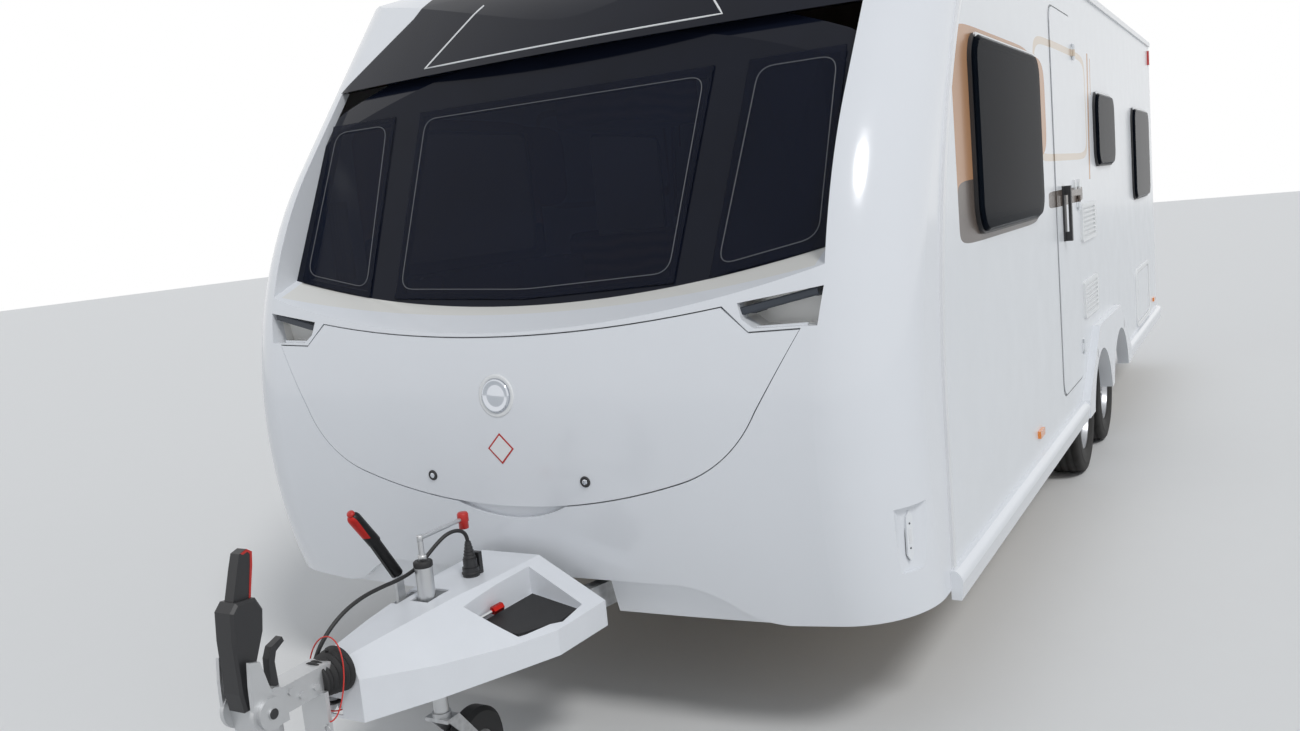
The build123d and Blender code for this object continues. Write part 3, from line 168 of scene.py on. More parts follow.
class Surface:
    """One material: a principled shader whose colour, roughness and bump vary over the surface.

    Each of its marks is a colour and a mask, a function of the surface's x, y and z.
    """
    # The colour sockets of the mix node: three that go in and one that comes out.
    mix_share, mix_first, mix_second, mixed = 0, 6, 7, 2

    def __init__(self, name, colour, rough, metal=0.0, coat=0.0, pattern="noise", size=6.0, spread=0.05,
                 bump=0.03, bump_size=120.0, alpha=1.0, shine=0.5, marks=()):
        self.material = bpy.data.materials.new(name)
        self.material.use_nodes = True
        self.tree = self.material.node_tree
        shader = self.tree.nodes["Principled BSDF"]
        place = self.node("ShaderNodeTexCoord", {}, {}).outputs["Object"]
        kind, settings, inputs, output = {
            "noise": ("ShaderNodeTexNoise", {}, {"Scale": size, "Detail": 4.0}, "Fac"),
            "spangle": ("ShaderNodeTexVoronoi", {}, {"Scale": size}, "Distance"),
            "grain": ("ShaderNodeTexWave", {"bands_direction": "Z"},
                      {"Scale": size, "Distortion": 4.0, "Detail": 3.0}, "Fac")}[pattern]
        texture = self.node(kind, settings, {"Vector": place, **inputs})
        vary = Wire(self.tree, texture.outputs[output])
        dark = [c * (1 - spread) for c in colour]
        pale = [min(1.0, c * (1 + spread)) for c in colour]
        shade = self.mix(vary.socket, dark, pale)
        split = self.node("ShaderNodeSeparateXYZ", {}, {"Vector": place})
        x, y, z = (Wire(self.tree, split.outputs[k]) for k in range(3))
        roughness = rough * 0.85 + vary * (rough * 0.3)
        for mark_colour, mask in marks:
            shade = self.mix(mask(x, y, z).socket, shade, mark_colour)
        self.tree.links.new(shade, shader.inputs["Base Color"])
        self.tree.links.new(roughness.socket, shader.inputs["Roughness"])
        shader.inputs["Metallic"].default_value = metal
        shader.inputs["Coat Weight"].default_value = coat
        shader.inputs["Coat Roughness"].default_value = 0.05
        shader.inputs["Specular IOR Level"].default_value = shine
        shader.inputs["Alpha"].default_value = alpha
        fine = self.node("ShaderNodeTexNoise", {}, {"Vector": place, "Scale": bump_size, "Detail": 3.0})
        relief = self.node("ShaderNodeBump", {},
                           {"Height": fine.outputs["Fac"], "Strength": bump, "Distance": 0.002})
        self.tree.links.new(relief.outputs["Normal"], shader.inputs["Normal"])

    def node(self, kind, settings, inputs):
        made = self.tree.nodes.new(kind)
        for key, value in settings.items():
            setattr(made, key, value)
        for key, value in inputs.items():
            if isinstance(value, bpy.types.NodeSocket):
                self.tree.links.new(value, made.inputs[key])
            else:
                made.inputs[key].default_value = value
        return made

    def mix(self, share, first, second):
        """The colour that lies between two colours or colour sockets."""
        first, second = (v if isinstance(v, bpy.types.NodeSocket) else (*v, 1.0) for v in (first, second))
        made = self.node("ShaderNodeMix", {"data_type": "RGBA"},
                         {self.mix_share: share, self.mix_first: first, self.mix_second: second})
        return made.outputs[self.mixed]


def rounded_patch(y0, y1, z0, z1, power=8.0):
    """Mask of a rectangle with rounded corners on a side wall."""
    def mask(x, y, z):
        across = abs((y - (y0 + y1) / 2) * (2 / (y1 - y0))) ** power
        up = abs((z - (z0 + z1) / 2) * (2 / (z1 - z0))) ** power
        return (across + up).under(1.0)
    return mask


def patch_ring(y0, y1, z0, z1, width):
    """Mask of a band of that width just inside a rounded rectangle."""
    outer = rounded_patch(y0, y1, z0, z1)
    inner = rounded_patch(y0 + width, y1 - width, z0 + width, z1 - width)
    return lambda x, y, z: outer(x, y, z) * (1 - inner(x, y, z))


def leaning_stroke(y0, z0, z1, lean, width):
    """Mask of a stroke on a side wall that leans to the rear as it rises."""
    return lambda x, y, z: abs(y - (y0 + (z - z0) * lean)).under(width / 2) * z.over(z0) * z.under(z1)


def painted_ledge_shade(x, y, z):
    """Mask of the ledge below the front windows, painted a darker warm white as the shade on it."""
    across = y.over(-2.765) * y.under(-2.60) * abs(x).under(.97)
    return across * (z - x * x * .10).over(1.26) * z.under(1.47)


def painted_light_pockets(x, y, z):
    """Mask of the inside of the two handle pockets, painted a paler white as the light that falls into them."""
    across = (y - abs(x) * .135).over(-2.887) * abs(x).over(.762) * abs(x).under(1.008)
    return across * z.over(1.222) * z.under(1.338) * y.under(-2.60)


copper, umber, beige = (.50, .27, .14), (.12, .095, .08), (.70, .60, .49)
white, moulded_white = (.78, .80, .82), (.79, .81, .84)
slot_black, grip_black = (.02, .02, .022), (.012, .012, .013)
grip_red, lamp_red, amber = (.50, .02, .015), (.55, .015, .012), (.85, .26, .03)
slots = [rounded_patch(y0, y1, .622, .668, 2.5) for y0, y1 in ((.348, .372), (1.438, 1.462))]
graphics = [
    (beige, patch_ring(-.84, .52, 1.60, 2.10, .030)),
    (copper, rounded_patch(-2.13, -.86, 1.365, 2.03)),
    (copper, rounded_patch(-1.30, -.61, 1.62, 2.01, 5.0)),
    (umber, rounded_patch(-2.13, -.86, 1.365, 1.56)),
    (umber, rounded_patch(-.62, .30, 1.405, 1.475)),
    (copper, leaning_stroke(.56, 1.50, 2.12, .10, .045)),
    (copper, leaning_stroke(.69, 1.92, 2.10, .10, .020)),
]
finishes = {
    "side_skin": Surface("side_skin", white, .25, coat=.08, spread=.015, shine=.3, marks=graphics),
    "white_skin": Surface("white_skin", white, .22, coat=.2, spread=.015),
    # The front moulding gets painted shade, a darker warm white, on the ledge below the windows, and painted
    # light, a paler white, inside the handle pockets.
    "white_moulding": Surface("white_moulding", moulded_white, .16, coat=.25, spread=.012, bump=.015,
                              marks=[((.78, .77, .73), painted_ledge_shade), ((.96, .95, .92), painted_light_pockets)]),
    "spat_white": Surface("spat_white", moulded_white, .16, coat=.25, spread=.012, bump=.015,
                          marks=[(slot_black, slot) for slot in slots]),
    "cover_white": Surface("cover_white", (.74, .76, .79), .3, spread=.03, size=14, bump=.06),
    "satin_white": Surface("satin_white", (.82, .83, .83), .4, spread=.02),
    "dark_gloss": Surface("dark_gloss", (.006, .008, .016), .10, spread=.25, bump=.005, shine=.14),
    "tinted": Surface("tinted", (.004, .007, .020), .07, spread=.4, size=2, bump=.004, alpha=.64, shine=.14),
    "side_tinted": Surface("side_tinted", (.005, .007, .011), .12, spread=.4, size=2, bump=.004, alpha=.88,
                           shine=.004),
    "line_grey": Surface("line_grey", (.10, .105, .115), .5, spread=.1),
    "black_plastic": Surface("black_plastic", (.022, .022, .024), .45, spread=.15, bump=.12, bump_size=600),
    "black_rubber": Surface("black_rubber", (.016, .016, .017), .62, spread=.2, bump=.15, bump_size=400),
    "tyre_rubber": Surface("tyre_rubber", (.022, .021, .020), .8, spread=.3, size=30, bump=.2, bump_size=300),
    "cable_sheath": Surface("cable_sheath", (.014, .014, .015), .5, spread=.15, bump=.05),
    "red_sheath": Surface("red_sheath", (.60, .030, .020), .35, spread=.08, bump=.05),
    "red_plastic": Surface("red_plastic", grip_red, .35, spread=.08),
    "zinc": Surface("zinc", (.56, .57, .58), .38, metal=.9, pattern="spangle", size=60, spread=.16, bump=.05),
    "galvanised": Surface("galvanised", (.50, .51, .52), .5, metal=.75, pattern="spangle", size=35, spread=.2),
    "cast_silver": Surface("cast_silver", (.60, .61, .62), .42, metal=.85, spread=.08, bump=.25, bump_size=500),
    "chrome": Surface("chrome", (.66, .69, .74), .09, metal=1.0, spread=.10, bump=.004),
    "alloy": Surface("alloy", (.44, .45, .47), .34, metal=.7, coat=.15, spread=.05),
    "rail_alloy": Surface("rail_alloy", (.80, .81, .82), .35, metal=.3, spread=.04),
    "grip_grey": Surface("grip_grey", (.050, .058, .072), .42, spread=.08, shine=.35),
    "wood": Surface("wood", (.34, .20, .11), .42, pattern="grain", size=5, spread=.25),
    "floor_board": Surface("floor_board", (.42, .33, .22), .6, pattern="grain", size=4, spread=.2),
    "cloth": Surface("cloth", (.40, .35, .30), .9, spread=.15, size=60, bump=.5, bump_size=900),
    "curtain": Surface("curtain", (.62, .58, .52), .9, spread=.1, size=40, bump=.4, bump_size=700),
    # The crank's knob and the clamp's handle are red.
    "jockey_finish": Surface("jockey_finish", (.60, .61, .62), .3, metal=.9, spread=.08, marks=[
        (grip_red, lambda x, y, z: y.over(-3.125) * z.over(.70)),
        (grip_red, lambda x, y, z: y.over(-3.196) * z.under(.56) * z.over(.50))]),
    # The lever's grip is black, with a red front edge near its top.
    "brake_finish": Surface("brake_finish", (.56, .57, .58), .4, metal=.6, spread=.08, marks=[
        (grip_black, lambda x, y, z: (z - .652 + (y + 3.317) * -.2).over(0) * abs(x + .075).under(.05)),
        (grip_red, lambda x, y, z: (y * -.831 + z * -.556).over(2.4005) * z.over(.785))]),
    # Side lamps are amber, front corner lamps clear, rear clusters red with an amber and a clear band,
    # and the lamps near the roof red.
    "lens_finish": Surface("lens_finish", amber, .18, coat=.8, spread=.06, marks=[
        ((.80, .82, .84), lambda x, y, z: y.under(-2.4)),
        (lamp_red, lambda x, y, z: y.over(3.89)),
        (amber, lambda x, y, z: y.over(3.89) * z.over(1.14) * z.under(1.24)),
        ((.80, .81, .82), lambda x, y, z: y.over(3.89) * z.over(.86) * z.under(.94)),
        (lamp_red, lambda x, y, z: z.over(2.2))]),
}
node_finish = {
    "side_skin": ["wall_nearside", "wall_offside", "door"],
    "white_skin": ["roof", "service_hatch"],
    "white_moulding": ["front_panel", "locker_lid", "rear_panel", "rear_bumper", "skirts"],
    "spat_white": ["wheel_spats"],
    "cover_white": ["drawbar_cover"],
    "satin_white": ["vents"],
    "dark_gloss": ["front_cap", "front_window_surround"],
    "tinted": ["front_window_panes", "rooflights"],
    "side_tinted": ["window_panes"],
    "black_plastic": ["window_frames", "door_handle", "gas_locker", "stabiliser_lever", "plug"],
    "black_rubber": ["gaiter", "step_pads", "jockey_wheel"],
    "tyre_rubber": [n for n in nodes if n.startswith("tyre_")],
    "zinc": ["jockey_fork"],
    "galvanised": ["chassis", "drawbar", "axles"] + [n for n in nodes if n.startswith("steady_")],
    "cast_silver": ["coupling"],
    "alloy": [n for n in nodes if n.startswith("rim_")],
    "rail_alloy": ["awning_rails"],
    "grip_grey": ["grab_handles"],
    "wood": ["furniture"],
    "floor_board": ["floor"],
    "cloth": ["seat_cushions"],
    "curtain": ["curtains"],
    "jockey_finish": ["jockey_stand"],
    "brake_finish": ["handbrake"],
    "lens_finish": ["lamps"],
    "cable_sheath": ["cable"],
    "red_sheath": ["breakaway_cable"],
}


def dress(piece, finish):
    piece.data.materials.clear()
    piece.data.materials.append(finishes[finish].material)


for finish, names in node_finish.items():
    for name in names:
        dress(nodes[name], finish)
dress(cable, "cable_sheath")
dress(breakaway, "red_sheath")


# Trailer plug: ribs round its boot and a seal round its collar, on the plug of the solids.
# A lathe turns a profile of (along, radius) points about an axis through a centre.
def add_piece(name, verts, faces, finish, body, smooth=True):
    """A mesh with one finish that rides on a body."""
    mesh = bpy.data.meshes.new(name)
    mesh.from_pydata([tuple(v) for v in verts], [], faces)
    mesh.polygons.foreach_set("use_smooth", [smooth] * len(mesh.polygons))
    mesh.update()
    piece = bpy.data.objects.new(name, mesh)
    scene.collection.objects.link(piece)
    dress(piece, finish)
    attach(piece, body)
    return piece


def lathe_mesh(profile, centre, axis, segments, start=0):
    """Vertices and faces of a turned solid, closed by a flat face at each end of its profile."""
    turn = Vector((0, 0, 1)).rotation_difference(Vector(axis).normalized()).to_matrix()
    verts, faces = [], []
    for along, radius in profile:
        for k in range(segments):
            a = 2 * math.pi * k / segments
            verts.append(Vector(centre) + turn @ Vector((radius * math.cos(a), radius * math.sin(a), along)))
    rows = len(profile)
    for row in range(rows - 1):
        for k in range(segments):
            n = (k + 1) % segments
            faces.append((start + row * segments + k, start + row * segments + n,
                          start + (row + 1) * segments + n, start + (row + 1) * segments + k))
    faces.append(tuple(start + k for k in reversed(range(segments))))
    faces.append(tuple(start + (rows - 1) * segments + k for k in range(segments)))
    return verts, faces


def lathe(name, turned, finish, body, segments=32):
    """One piece of several turned parts, each a profile, a centre and an axis."""
    verts, faces = [], []
    for profile, centre, axis in turned:
        more_verts, more_faces = lathe_mesh(profile, centre, axis, segments, len(verts))
        verts += more_verts
        faces += more_faces
    return add_piece(name, verts, faces, finish, body)


plug_x, plug_y, collar_z = .016, -3.122, .600
upright_axis = (0, 0, 1)
rings = []
for k in range(5):
    rib_z, rib_r = .6445 + .009 * k, .0178 - .0019 * k
    rib = [(-.003, rib_r - .003), (-.0015, rib_r), (.0015, rib_r), (.003, rib_r - .003)]
    rings.append((rib, (plug_x, plug_y, rib_z), upright_axis))
collar = [(-.004, .0245), (-.002, .0265), (.002, .0265), (.004, .0245)]
rings.append((collar, (plug_x, plug_y, collar_z), upright_axis))
plug_ribs = lathe("plug_boot_ribs", rings, "black_rubber", "caravan", 28)


# Front window: a thin grey line set in from the edge of each pane, and a pale one on the dark panel above.
# The grey lines lie just proud of the raked window plane; the pale one lies on the panel, found by looking
# straight back at the solids.
def touch(node, x, z):
    """Point and outward normal where a look along +Y at (x, z), from before the caravan, meets a node."""
    before_y = -5.0
    hit, point, normal, _ = nodes[node].ray_cast(Vector((x, before_y, z)), Vector((0, 1, 0)))
    if not hit:
        raise RuntimeError(f"{node} isn't met at x {x:.3f}, z {z:.3f}")
    return point, normal


def thin_line(name, points, radius, finish, body, closed=True):
    """A thin round line through the points that rides on a body."""
    curve = bpy.data.curves.new(name, "CURVE")
    curve.dimensions = "3D"
    curve.bevel_depth, curve.bevel_resolution = radius, 2
    line = curve.splines.new("POLY")
    line.points.add(len(points) - 1)
    for spot, point in zip(line.points, points):
        spot.co = (*point, 1)
    line.use_cyclic_u = closed
    piece = bpy.data.objects.new(name, curve)
    scene.collection.objects.link(piece)
    dress(piece, finish)
    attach(piece, body)
    return piece


def rounded_outline(corners, radius, steps=6):
    """A closed outline whose corners are eased by quadratic curves."""
    points = []
    count = len(corners)
    for k, corner in enumerate(corners):
        here = Vector(corner)
        before, after = Vector(corners[k - 1]), Vector(corners[(k + 1) % count])
        entry = here + (before - here).normalized() * radius
        leave = here + (after - here).normalized() * radius
        for s in range(steps + 1):
            t = s / steps
            points.append((1 - t) ** 2 * entry + 2 * t * (1 - t) * here + t * t * leave)
    return points


lean = math.radians(25.7)
pane_proud = .0060
screen_up = Vector((0, math.sin(lean), math.cos(lean)))
screen_out = Vector((0, -math.cos(lean), math.sin(lean)))
screen_base = Vector((0, -2.720, 1.300)) + screen_out * pane_proud


def on_screen(x, height):
    """The point of the raked window plane at x, that far up its slope."""
    return screen_base + Vector((x, 0, 0)) + screen_up * height


pane_lines = {
    "centre": [(-.500, .085), (0, .060), (.500, .085), (.535, .705), (-.535, .705)],
    "nearside": [(.655, .098), (.945, .162), (.950, .705), (.712, .705)],
    "offside": [(-.945, .162), (-.655, .098), (-.712, .705), (-.950, .705)],
}
for pane, corners in pane_lines.items():
    outline = [on_screen(p.x, p.y) for p in rounded_outline([Vector(c) for c in corners], .05)]
    thin_line(f"pane_line_{pane}", outline, .0016, "line_grey", "caravan")

cap_corners = [(-.412, 2.322), (-.575, 2.118), (.575, 2.118), (.412, 2.322)]
cap_steps = 12
cap_line = []
for a, b in zip(cap_corners, cap_corners[1:]):
    for s in range(cap_steps + 1):
        t = s / cap_steps
        cap_line.append((a[0] + (b[0] - a[0]) * t, a[1] + (b[1] - a[1]) * t))
cap_line = [touch("front_cap", x, z)[0] for x, z in cap_line]
thin_line("cap_line", cap_line, .0035, "satin_white", "caravan", closed=False)


# Gas locker lid: a plain chrome disc in a dished ring, a blank red-edged diamond and two locks.
# They stand on the lid and swing with it.
badge_z, diamond_z, lock_half, lock_z = 1.063, .905, .28, .812
spot, facing = touch("locker_lid", 0, badge_z)
badge = [(-.004, .050), (.003, .050), (.0065, .0475), (.0065, .0435), (.0030, .0385), (.0032, .030),
         (.0062, .016), (.0070, .002)]
lathe("badge_disc", [(badge, spot, facing)], "chrome", "locker_lid", 48)
dish = [(-.003, .064), (.0008, .064), (.0022, .060), (.0012, .054), (.0010, .0525), (-.003, .0525)]
lathe("badge_dish", [(dish, spot, facing)], "satin_white", "locker_lid", 48)
lock_shell = [(-.003, .0165), (.002, .0165), (.004, .0150), (.0042, .0100), (.0025, .0095), (.0025, .0010)]
lock_core = [(.001, .0085), (.0038, .0085), (.0045, .0075), (.0045, .0010)]
shells, cores = [], []
for lock_x in (-lock_half, lock_half):
    lock_spot, lock_facing = touch("locker_lid", lock_x, lock_z)
    shells.append((lock_shell, lock_spot, lock_facing))
    cores.append((lock_core, lock_spot, lock_facing))
lathe("lid_lock_shells", shells, "black_plastic", "locker_lid", 32)
lathe("lid_lock_cores", cores, "chrome", "locker_lid", 24)


def flat_plate(name, outline, spot, facing, low, high, finish, body):
    """A thin plate from an outline of (across, up) points, standing on a point of a surface."""
    across = Vector((-facing.y, facing.x, 0)).normalized()
    up = facing.cross(across)
    if up.z < 0:
        up = -up
    verts = [spot + across * a + up * b + facing * low for a, b in outline]
    verts += [spot + across * a + up * b + facing * high for a, b in outline]
    count = len(outline)
    faces = [tuple(range(count))[::-1], tuple(range(count, 2 * count))]
    faces += [(k, (k + 1) % count, count + (k + 1) % count, count + k) for k in range(count)]
    return add_piece(name, verts, faces, finish, body, smooth=False)


spot, facing = touch("locker_lid", 0, diamond_z)
for name, half, low, high, finish in (("edge", .047, -.001, .0007, "red_plastic"),
                                      ("field", .040, .0005, .0011, "satin_white")):
    flat_plate(f"diamond_{name}", [(0, -half), (half, 0), (0, half), (-half, 0)], spot, facing, low, high,
               finish, "locker_lid")


# Coupling and drawbar: centre plugs in the friction covers, a red edge on the lever's grip,
# the gaiter's nipple and clamp ring, and the split ring that holds the red cable.
cover_x, cover_y, cover_z = .0655, -3.902, .542
centre_plug = [(0, .0125), (.0030, .0120), (.0040, .0095), (.0040, .0010)]
plugs = [(centre_plug, (side * cover_x, cover_y, cover_z), (side, 0, 0)) for _, side in sides]
lathe("friction_plugs", plugs, "black_plastic", "caravan", 28)
grip_half, clamp_spot, nipple_spot = .0148, (0, -3.7165, .530), (0, -3.668, .583)
grip_edge = [(-3.8760, .792), (-3.8575, .868), (-3.8535, .896), (-3.8665, .9055), (-3.8850, .9005),
             (-3.8790, .8960), (-3.8660, .8990), (-3.8600, .8920), (-3.8640, .8680), (-3.8800, .796)]
edge_verts = [Vector((x, y, z)) for x in (-grip_half, grip_half) for y, z in grip_edge]
count = len(grip_edge)
edge_faces = [tuple(range(count)), tuple(range(count, 2 * count))[::-1]]
edge_faces += [(k, count + k, count + (k + 1) % count, (k + 1) % count) for k in range(count)]
add_piece("grip_edge", edge_verts, edge_faces, "red_plastic", "caravan", smooth=False)
lathe("gaiter_fittings", [
    ([(-.004, .0455), (-.002, .0470), (.002, .0470), (.004, .0455)], clamp_spot, (0, 1, 0)),
    ([(0, .0045), (.006, .0040), (.010, .0025)], nipple_spot, upright_axis)],
    "black_rubber", "caravan", 36)
ring_x, ring_y, ring_z, ring_radius, ring_steps = .044, -3.7385, .424, .010, 24
ring_points = [(ring_x + ring_radius * math.cos(a), ring_y, ring_z + ring_radius * math.sin(a))
               for a in [2 * math.pi * k / ring_steps for k in range(ring_steps)]]
thin_line("split_ring", ring_points, .0014, "zinc", "caravan")


# Jockey stand: a black seal and square nuts at the tube's top, the hub discs of its wheel, and the knob of
# its crank, whose profile is in heights above the ground. The handbrake gets a red release button.
stand_y, seal_z, nut_z, crank_z, knob_y = -3.296, .683, .690, .752, -3.111
lathe("jockey_seal", [
    ([(-.010, .0245), (-.008, .0262), (.004, .0262), (.007, .0235), (.007, .0090)],
     (0, stand_y, seal_z), upright_axis)], "black_rubber", "caravan", 36)
lathe("jockey_nut", [
    ([(0, .0155), (.014, .0155), (.017, .0125), (.017, .0060)], (0, stand_y, nut_z), upright_axis),
    ([(-.008, .0105), (-.006, .0115), (.006, .0115), (.008, .0105)], (0, stand_y, crank_z), upright_axis)],
    "zinc", "caravan", 4)
hub_x, hub_y, hub_z = .0288, -3.176, .108
hub_disc = [(0, .045), (.0012, .045), (.0012, .020), (.0035, .018), (.0045, .012)]
hub_discs = [(hub_disc, (side * hub_x, hub_y, hub_z), (side, 0, 0)) for _, side in sides]
lathe("jockey_hub", hub_discs, "zinc", "jockey_wheel", 32)
lathe("crank_knob", [
    ([(.7235, .0125), (.7245, .0138), (.7420, .0138), (.7450, .0160), (.7650, .0160), (.7705, .0130),
      (.7710, .0020)], (0, knob_y, 0), upright_axis)], "red_plastic", "caravan", 24)
button = [(0, .0105), (.006, .0105), (.009, .0085), (.010, .0010)]
button_spot, button_axis = (-.075, -3.4555, .8588), (0, -.6, .8)
lathe("brake_button", [(button, button_spot, button_axis)], "red_plastic", "caravan", 24)


# Road wheels: tyres with grooves, shoulder blocks and sidewall rings inside the plain ones of the solids,
# and five wheel bolts round a plain centre cap on each rim.
tyre_mid, tyre_centre_z = 1.042, .303
tyre_half = [(.0795, .1805), (.0880, .1960), (.0900, .2060), (.0912, .2075), (.0925, .2300), (.0932, .2450),
             (.0938, .2465), (.0938, .2560), (.0925, .2580), (.0905, .2720), (.0870, .2860), (.0800, .2965),
             (.0740, .2995), (.0580, .3012), (.0560, .2945), (.0490, .2945), (.0470, .3020), (.0230, .3027),
             (.0210, .2950), (.0140, .2950), (.0120, .3029)]
tyre_profile = [(-a, r) for a, r in tyre_half] + [(a, r) for a, r in reversed(tyre_half)]
tread_segments, slot_every, slot_shift = 144, 6, 3
tread_from, centre_rib_half, slot_depth = .298, .0225, .0055
rim_face_x, bolt_count, bolt_circle = 1.098, 5, .0445
bolt = [(-.002, .0085), (.006, .0085), (.009, .0065), (.009, .0010)]
centre_cap = [(-.004, .0325), (.003, .0325), (.006, .0300), (.008, .0200), (.0085, .0020)]
for axle, wheel_y in (("front", .530), ("rear", 1.280)):
    for side_name, side in sides:
        wheel = f"{axle}_{side_name}"
        verts, faces = lathe_mesh(tyre_profile, (0, 0, 0), (1, 0, 0), tread_segments)
        del faces[-2:]
        last = (len(tyre_profile) - 1) * tread_segments
        faces += [(last + k, last + (k + 1) % tread_segments, (k + 1) % tread_segments, k)
                  for k in range(tread_segments)]
        for row, (along, radius) in enumerate(tyre_profile):
            if radius <= tread_from or abs(along) <= centre_rib_half:
                continue
            shift = (slot_shift if along > 0 else 0) + row % 2
            for k in range(tread_segments):
                if (k + shift) % slot_every == 0:
                    v = verts[row * tread_segments + k]
                    v.y *= (radius - slot_depth) / radius
                    v.z *= (radius - slot_depth) / radius
        place = Vector((side * tyre_mid, wheel_y, tyre_centre_z))
        tyre = add_piece(f"road_tyre_{wheel}", [v + place for v in verts], faces, "tyre_rubber",
                         f"wheel_{wheel}")
        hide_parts(f"tyre_{wheel}")
        face_x, outward = side * rim_face_x, (side, 0, 0)
        bolts = []
        for k in range(bolt_count):
            a = 2 * math.pi * (k + .25) / bolt_count
            bolt_y, bolt_z = wheel_y + bolt_circle * math.cos(a), tyre_centre_z + bolt_circle * math.sin(a)
            bolts.append((bolt, (face_x, bolt_y, bolt_z), outward))
        lathe(f"wheel_bolts_{wheel}", bolts, "zinc", f"wheel_{wheel}", 6)
        lathe(f"wheel_cap_{wheel}", [(centre_cap, (face_x, wheel_y, tyre_centre_z), outward)], "alloy",
              f"wheel_{wheel}", 40)


# Side walls: the raised frame round the service hatch, dark seals in the gaps, the door retainer, the plates
# that close the wheel openings above the sloping spats, the rails that the windows hang from, and the slot,
# screws and rim of each corner lamp.
def side_ring(name, y0, y1, z0, z1, radius, width, x0, x1, finish):
    """A flat ring on the nearside wall, between two rounded rectangles."""
    inner, outer = (
        rounded_outline([Vector(c) for c in ((y0 - grow, z0 - grow), (y1 + grow, z0 - grow),
                                             (y1 + grow, z1 + grow), (y0 - grow, z1 + grow))], radius + grow)
        for grow in (0, width))
    ease = (x1 - x0) * .4
    loops = [(inner, x0, 0), (inner, x1 - ease, 0), (inner, x1, 1),
             (outer, x1, -1), (outer, x1 - ease, 0), (outer, x0, 0)]
    middle = Vector(((y0 + y1) / 2, (z0 + z1) / 2))
    verts = []
    for loop, x, shift in loops:
        for p in loop:
            q = p + (p - middle).normalized() * (shift * ease)
            verts.append(Vector((x, q.x, q.y)))
    count = len(inner)
    faces = []
    for row in range(len(loops)):
        here, above = row * count, (row + 1) % len(loops) * count
        faces += [(here + k, here + (k + 1) % count, above + (k + 1) % count, above + k)
                  for k in range(count)]
    add_piece(name, verts, faces, finish, "caravan", smooth=False)


wall_x, door_face_x, retainer_z = 1.190, 1.194, 1.487
side_ring("hatch_frame", 2.450, 3.220, .510, .840, .040, .028, 1.1885, 1.1985, "satin_white")
side_ring("hatch_seal", 2.4485, 3.2215, .5085, .8415, .041, .0022, 1.186, 1.1912, "black_rubber")
side_ring("door_seal", -.4565, .1065, .5785, 2.2475, .071, .0022, 1.186, 1.1912, "black_rubber")
retainer = [(-.013, -.022), (.013, -.022), (.017, -.010), (.017, .010), (.013, .022), (-.013, .022),
            (-.017, .010), (-.017, -.010)]
for name, retainer_y, body, base in (("wall", .168, "caravan", wall_x),
                                     ("door", .020, "door", door_face_x)):
    flat_plate(f"retainer_{name}", retainer, Vector((base, retainer_y, retainer_z)), Vector((1, 0, 0)),
               -.002, .009, "satin_white", body)
arch_low_y, arch_top_z, arch_round, arch_steps, spats_mid_y = .185, .690, .090, 8, .905
spat_foot, spat_head = Vector((.040, .470)), Vector((.475, .770))
slope = (spat_head.y - spat_foot.y) / (spat_head.x - spat_foot.x)
arch_corner = [(arch_low_y, spat_foot.y + slope * (arch_low_y - spat_foot.x))]
for k in range(arch_steps + 1):
    a = math.radians(180 - 90 * k / arch_steps)
    arch_corner.append((arch_low_y + arch_round * (1 + math.cos(a)),
                        arch_top_z + arch_round * (math.sin(a) - 1)))
arch_corner.append((spat_foot.x + (arch_top_z - spat_foot.y) / slope, arch_top_z))
for end_name, end in (("front", 1), ("rear", -1)):
    for side_name, side in sides:
        outline = [(side * end * (y - spats_mid_y), z) for y, z in arch_corner]
        flat_plate(f"arch_corner_{end_name}_{side_name}", outline if side * end > 0 else outline[::-1],
                   Vector((side * wall_x, spats_mid_y, 0)), Vector((side, 0, 0)), -.012, -.0005,
                   "white_skin", "caravan")
rail_x, rail_over_top, rail_half = 1.202, .016, .007
window_tops = [(1, -1.900, -.880, 1.985), (1, .765, 1.390, 1.915), (1, 2.465, 3.315, 1.885),
               (-1, -1.900, -.880, 1.985), (-1, -.350, .480, 1.985), (-1, 2.100, 2.950, 1.885)]
for number, (side, y0, y1, top) in enumerate(window_tops):
    half = (y1 - y0) / 2 - .030
    rail = [(-half, -rail_half), (half, -rail_half), (half + .006, 0),
            (half, rail_half), (-half, rail_half), (-half - .006, 0)]
    flat_plate(f"window_rail_{number}", rail, Vector((side * rail_x, (y0 + y1) / 2, top + rail_over_top)),
               Vector((side, 0, 0)), -.001, .0055, "rail_alloy", "caravan")
corner_x, corner_y, corner_z, screw_half = 1.143, -2.680, .643, .034
slot = [(-.0045, -.020), (.0045, -.020), (.0045, .020), (-.0045, .020)]
screw = [(-.001, .0030), (.0008, .0028), (.0010, .0010)]
rim = [(0, -.069), (.011, -.053), (.011, .053), (0, .069), (-.011, .053), (-.011, -.053)]
for side_name, side in sides:
    facing = Vector((side * math.cos(math.radians(30)), -.5, 0))
    face = Vector((side * corner_x, corner_y, corner_z)) + facing * .010
    flat_plate(f"corner_lens_{side_name}", slot, face, facing, -.001, .0008, "rail_alloy", "caravan")
    screws = [(screw, face + Vector((0, 0, z)), facing) for z in (-screw_half, screw_half)]
    lathe(f"corner_screws_{side_name}", screws, "line_grey", "caravan", 16)
    across = Vector((-facing.y, facing.x, 0))
    edge = [face - facing * .008 + across * a + Vector((0, 0, b)) for a, b in rim]
    thin_line(f"corner_rim_{side_name}", edge, .0012, "line_grey", "caravan")


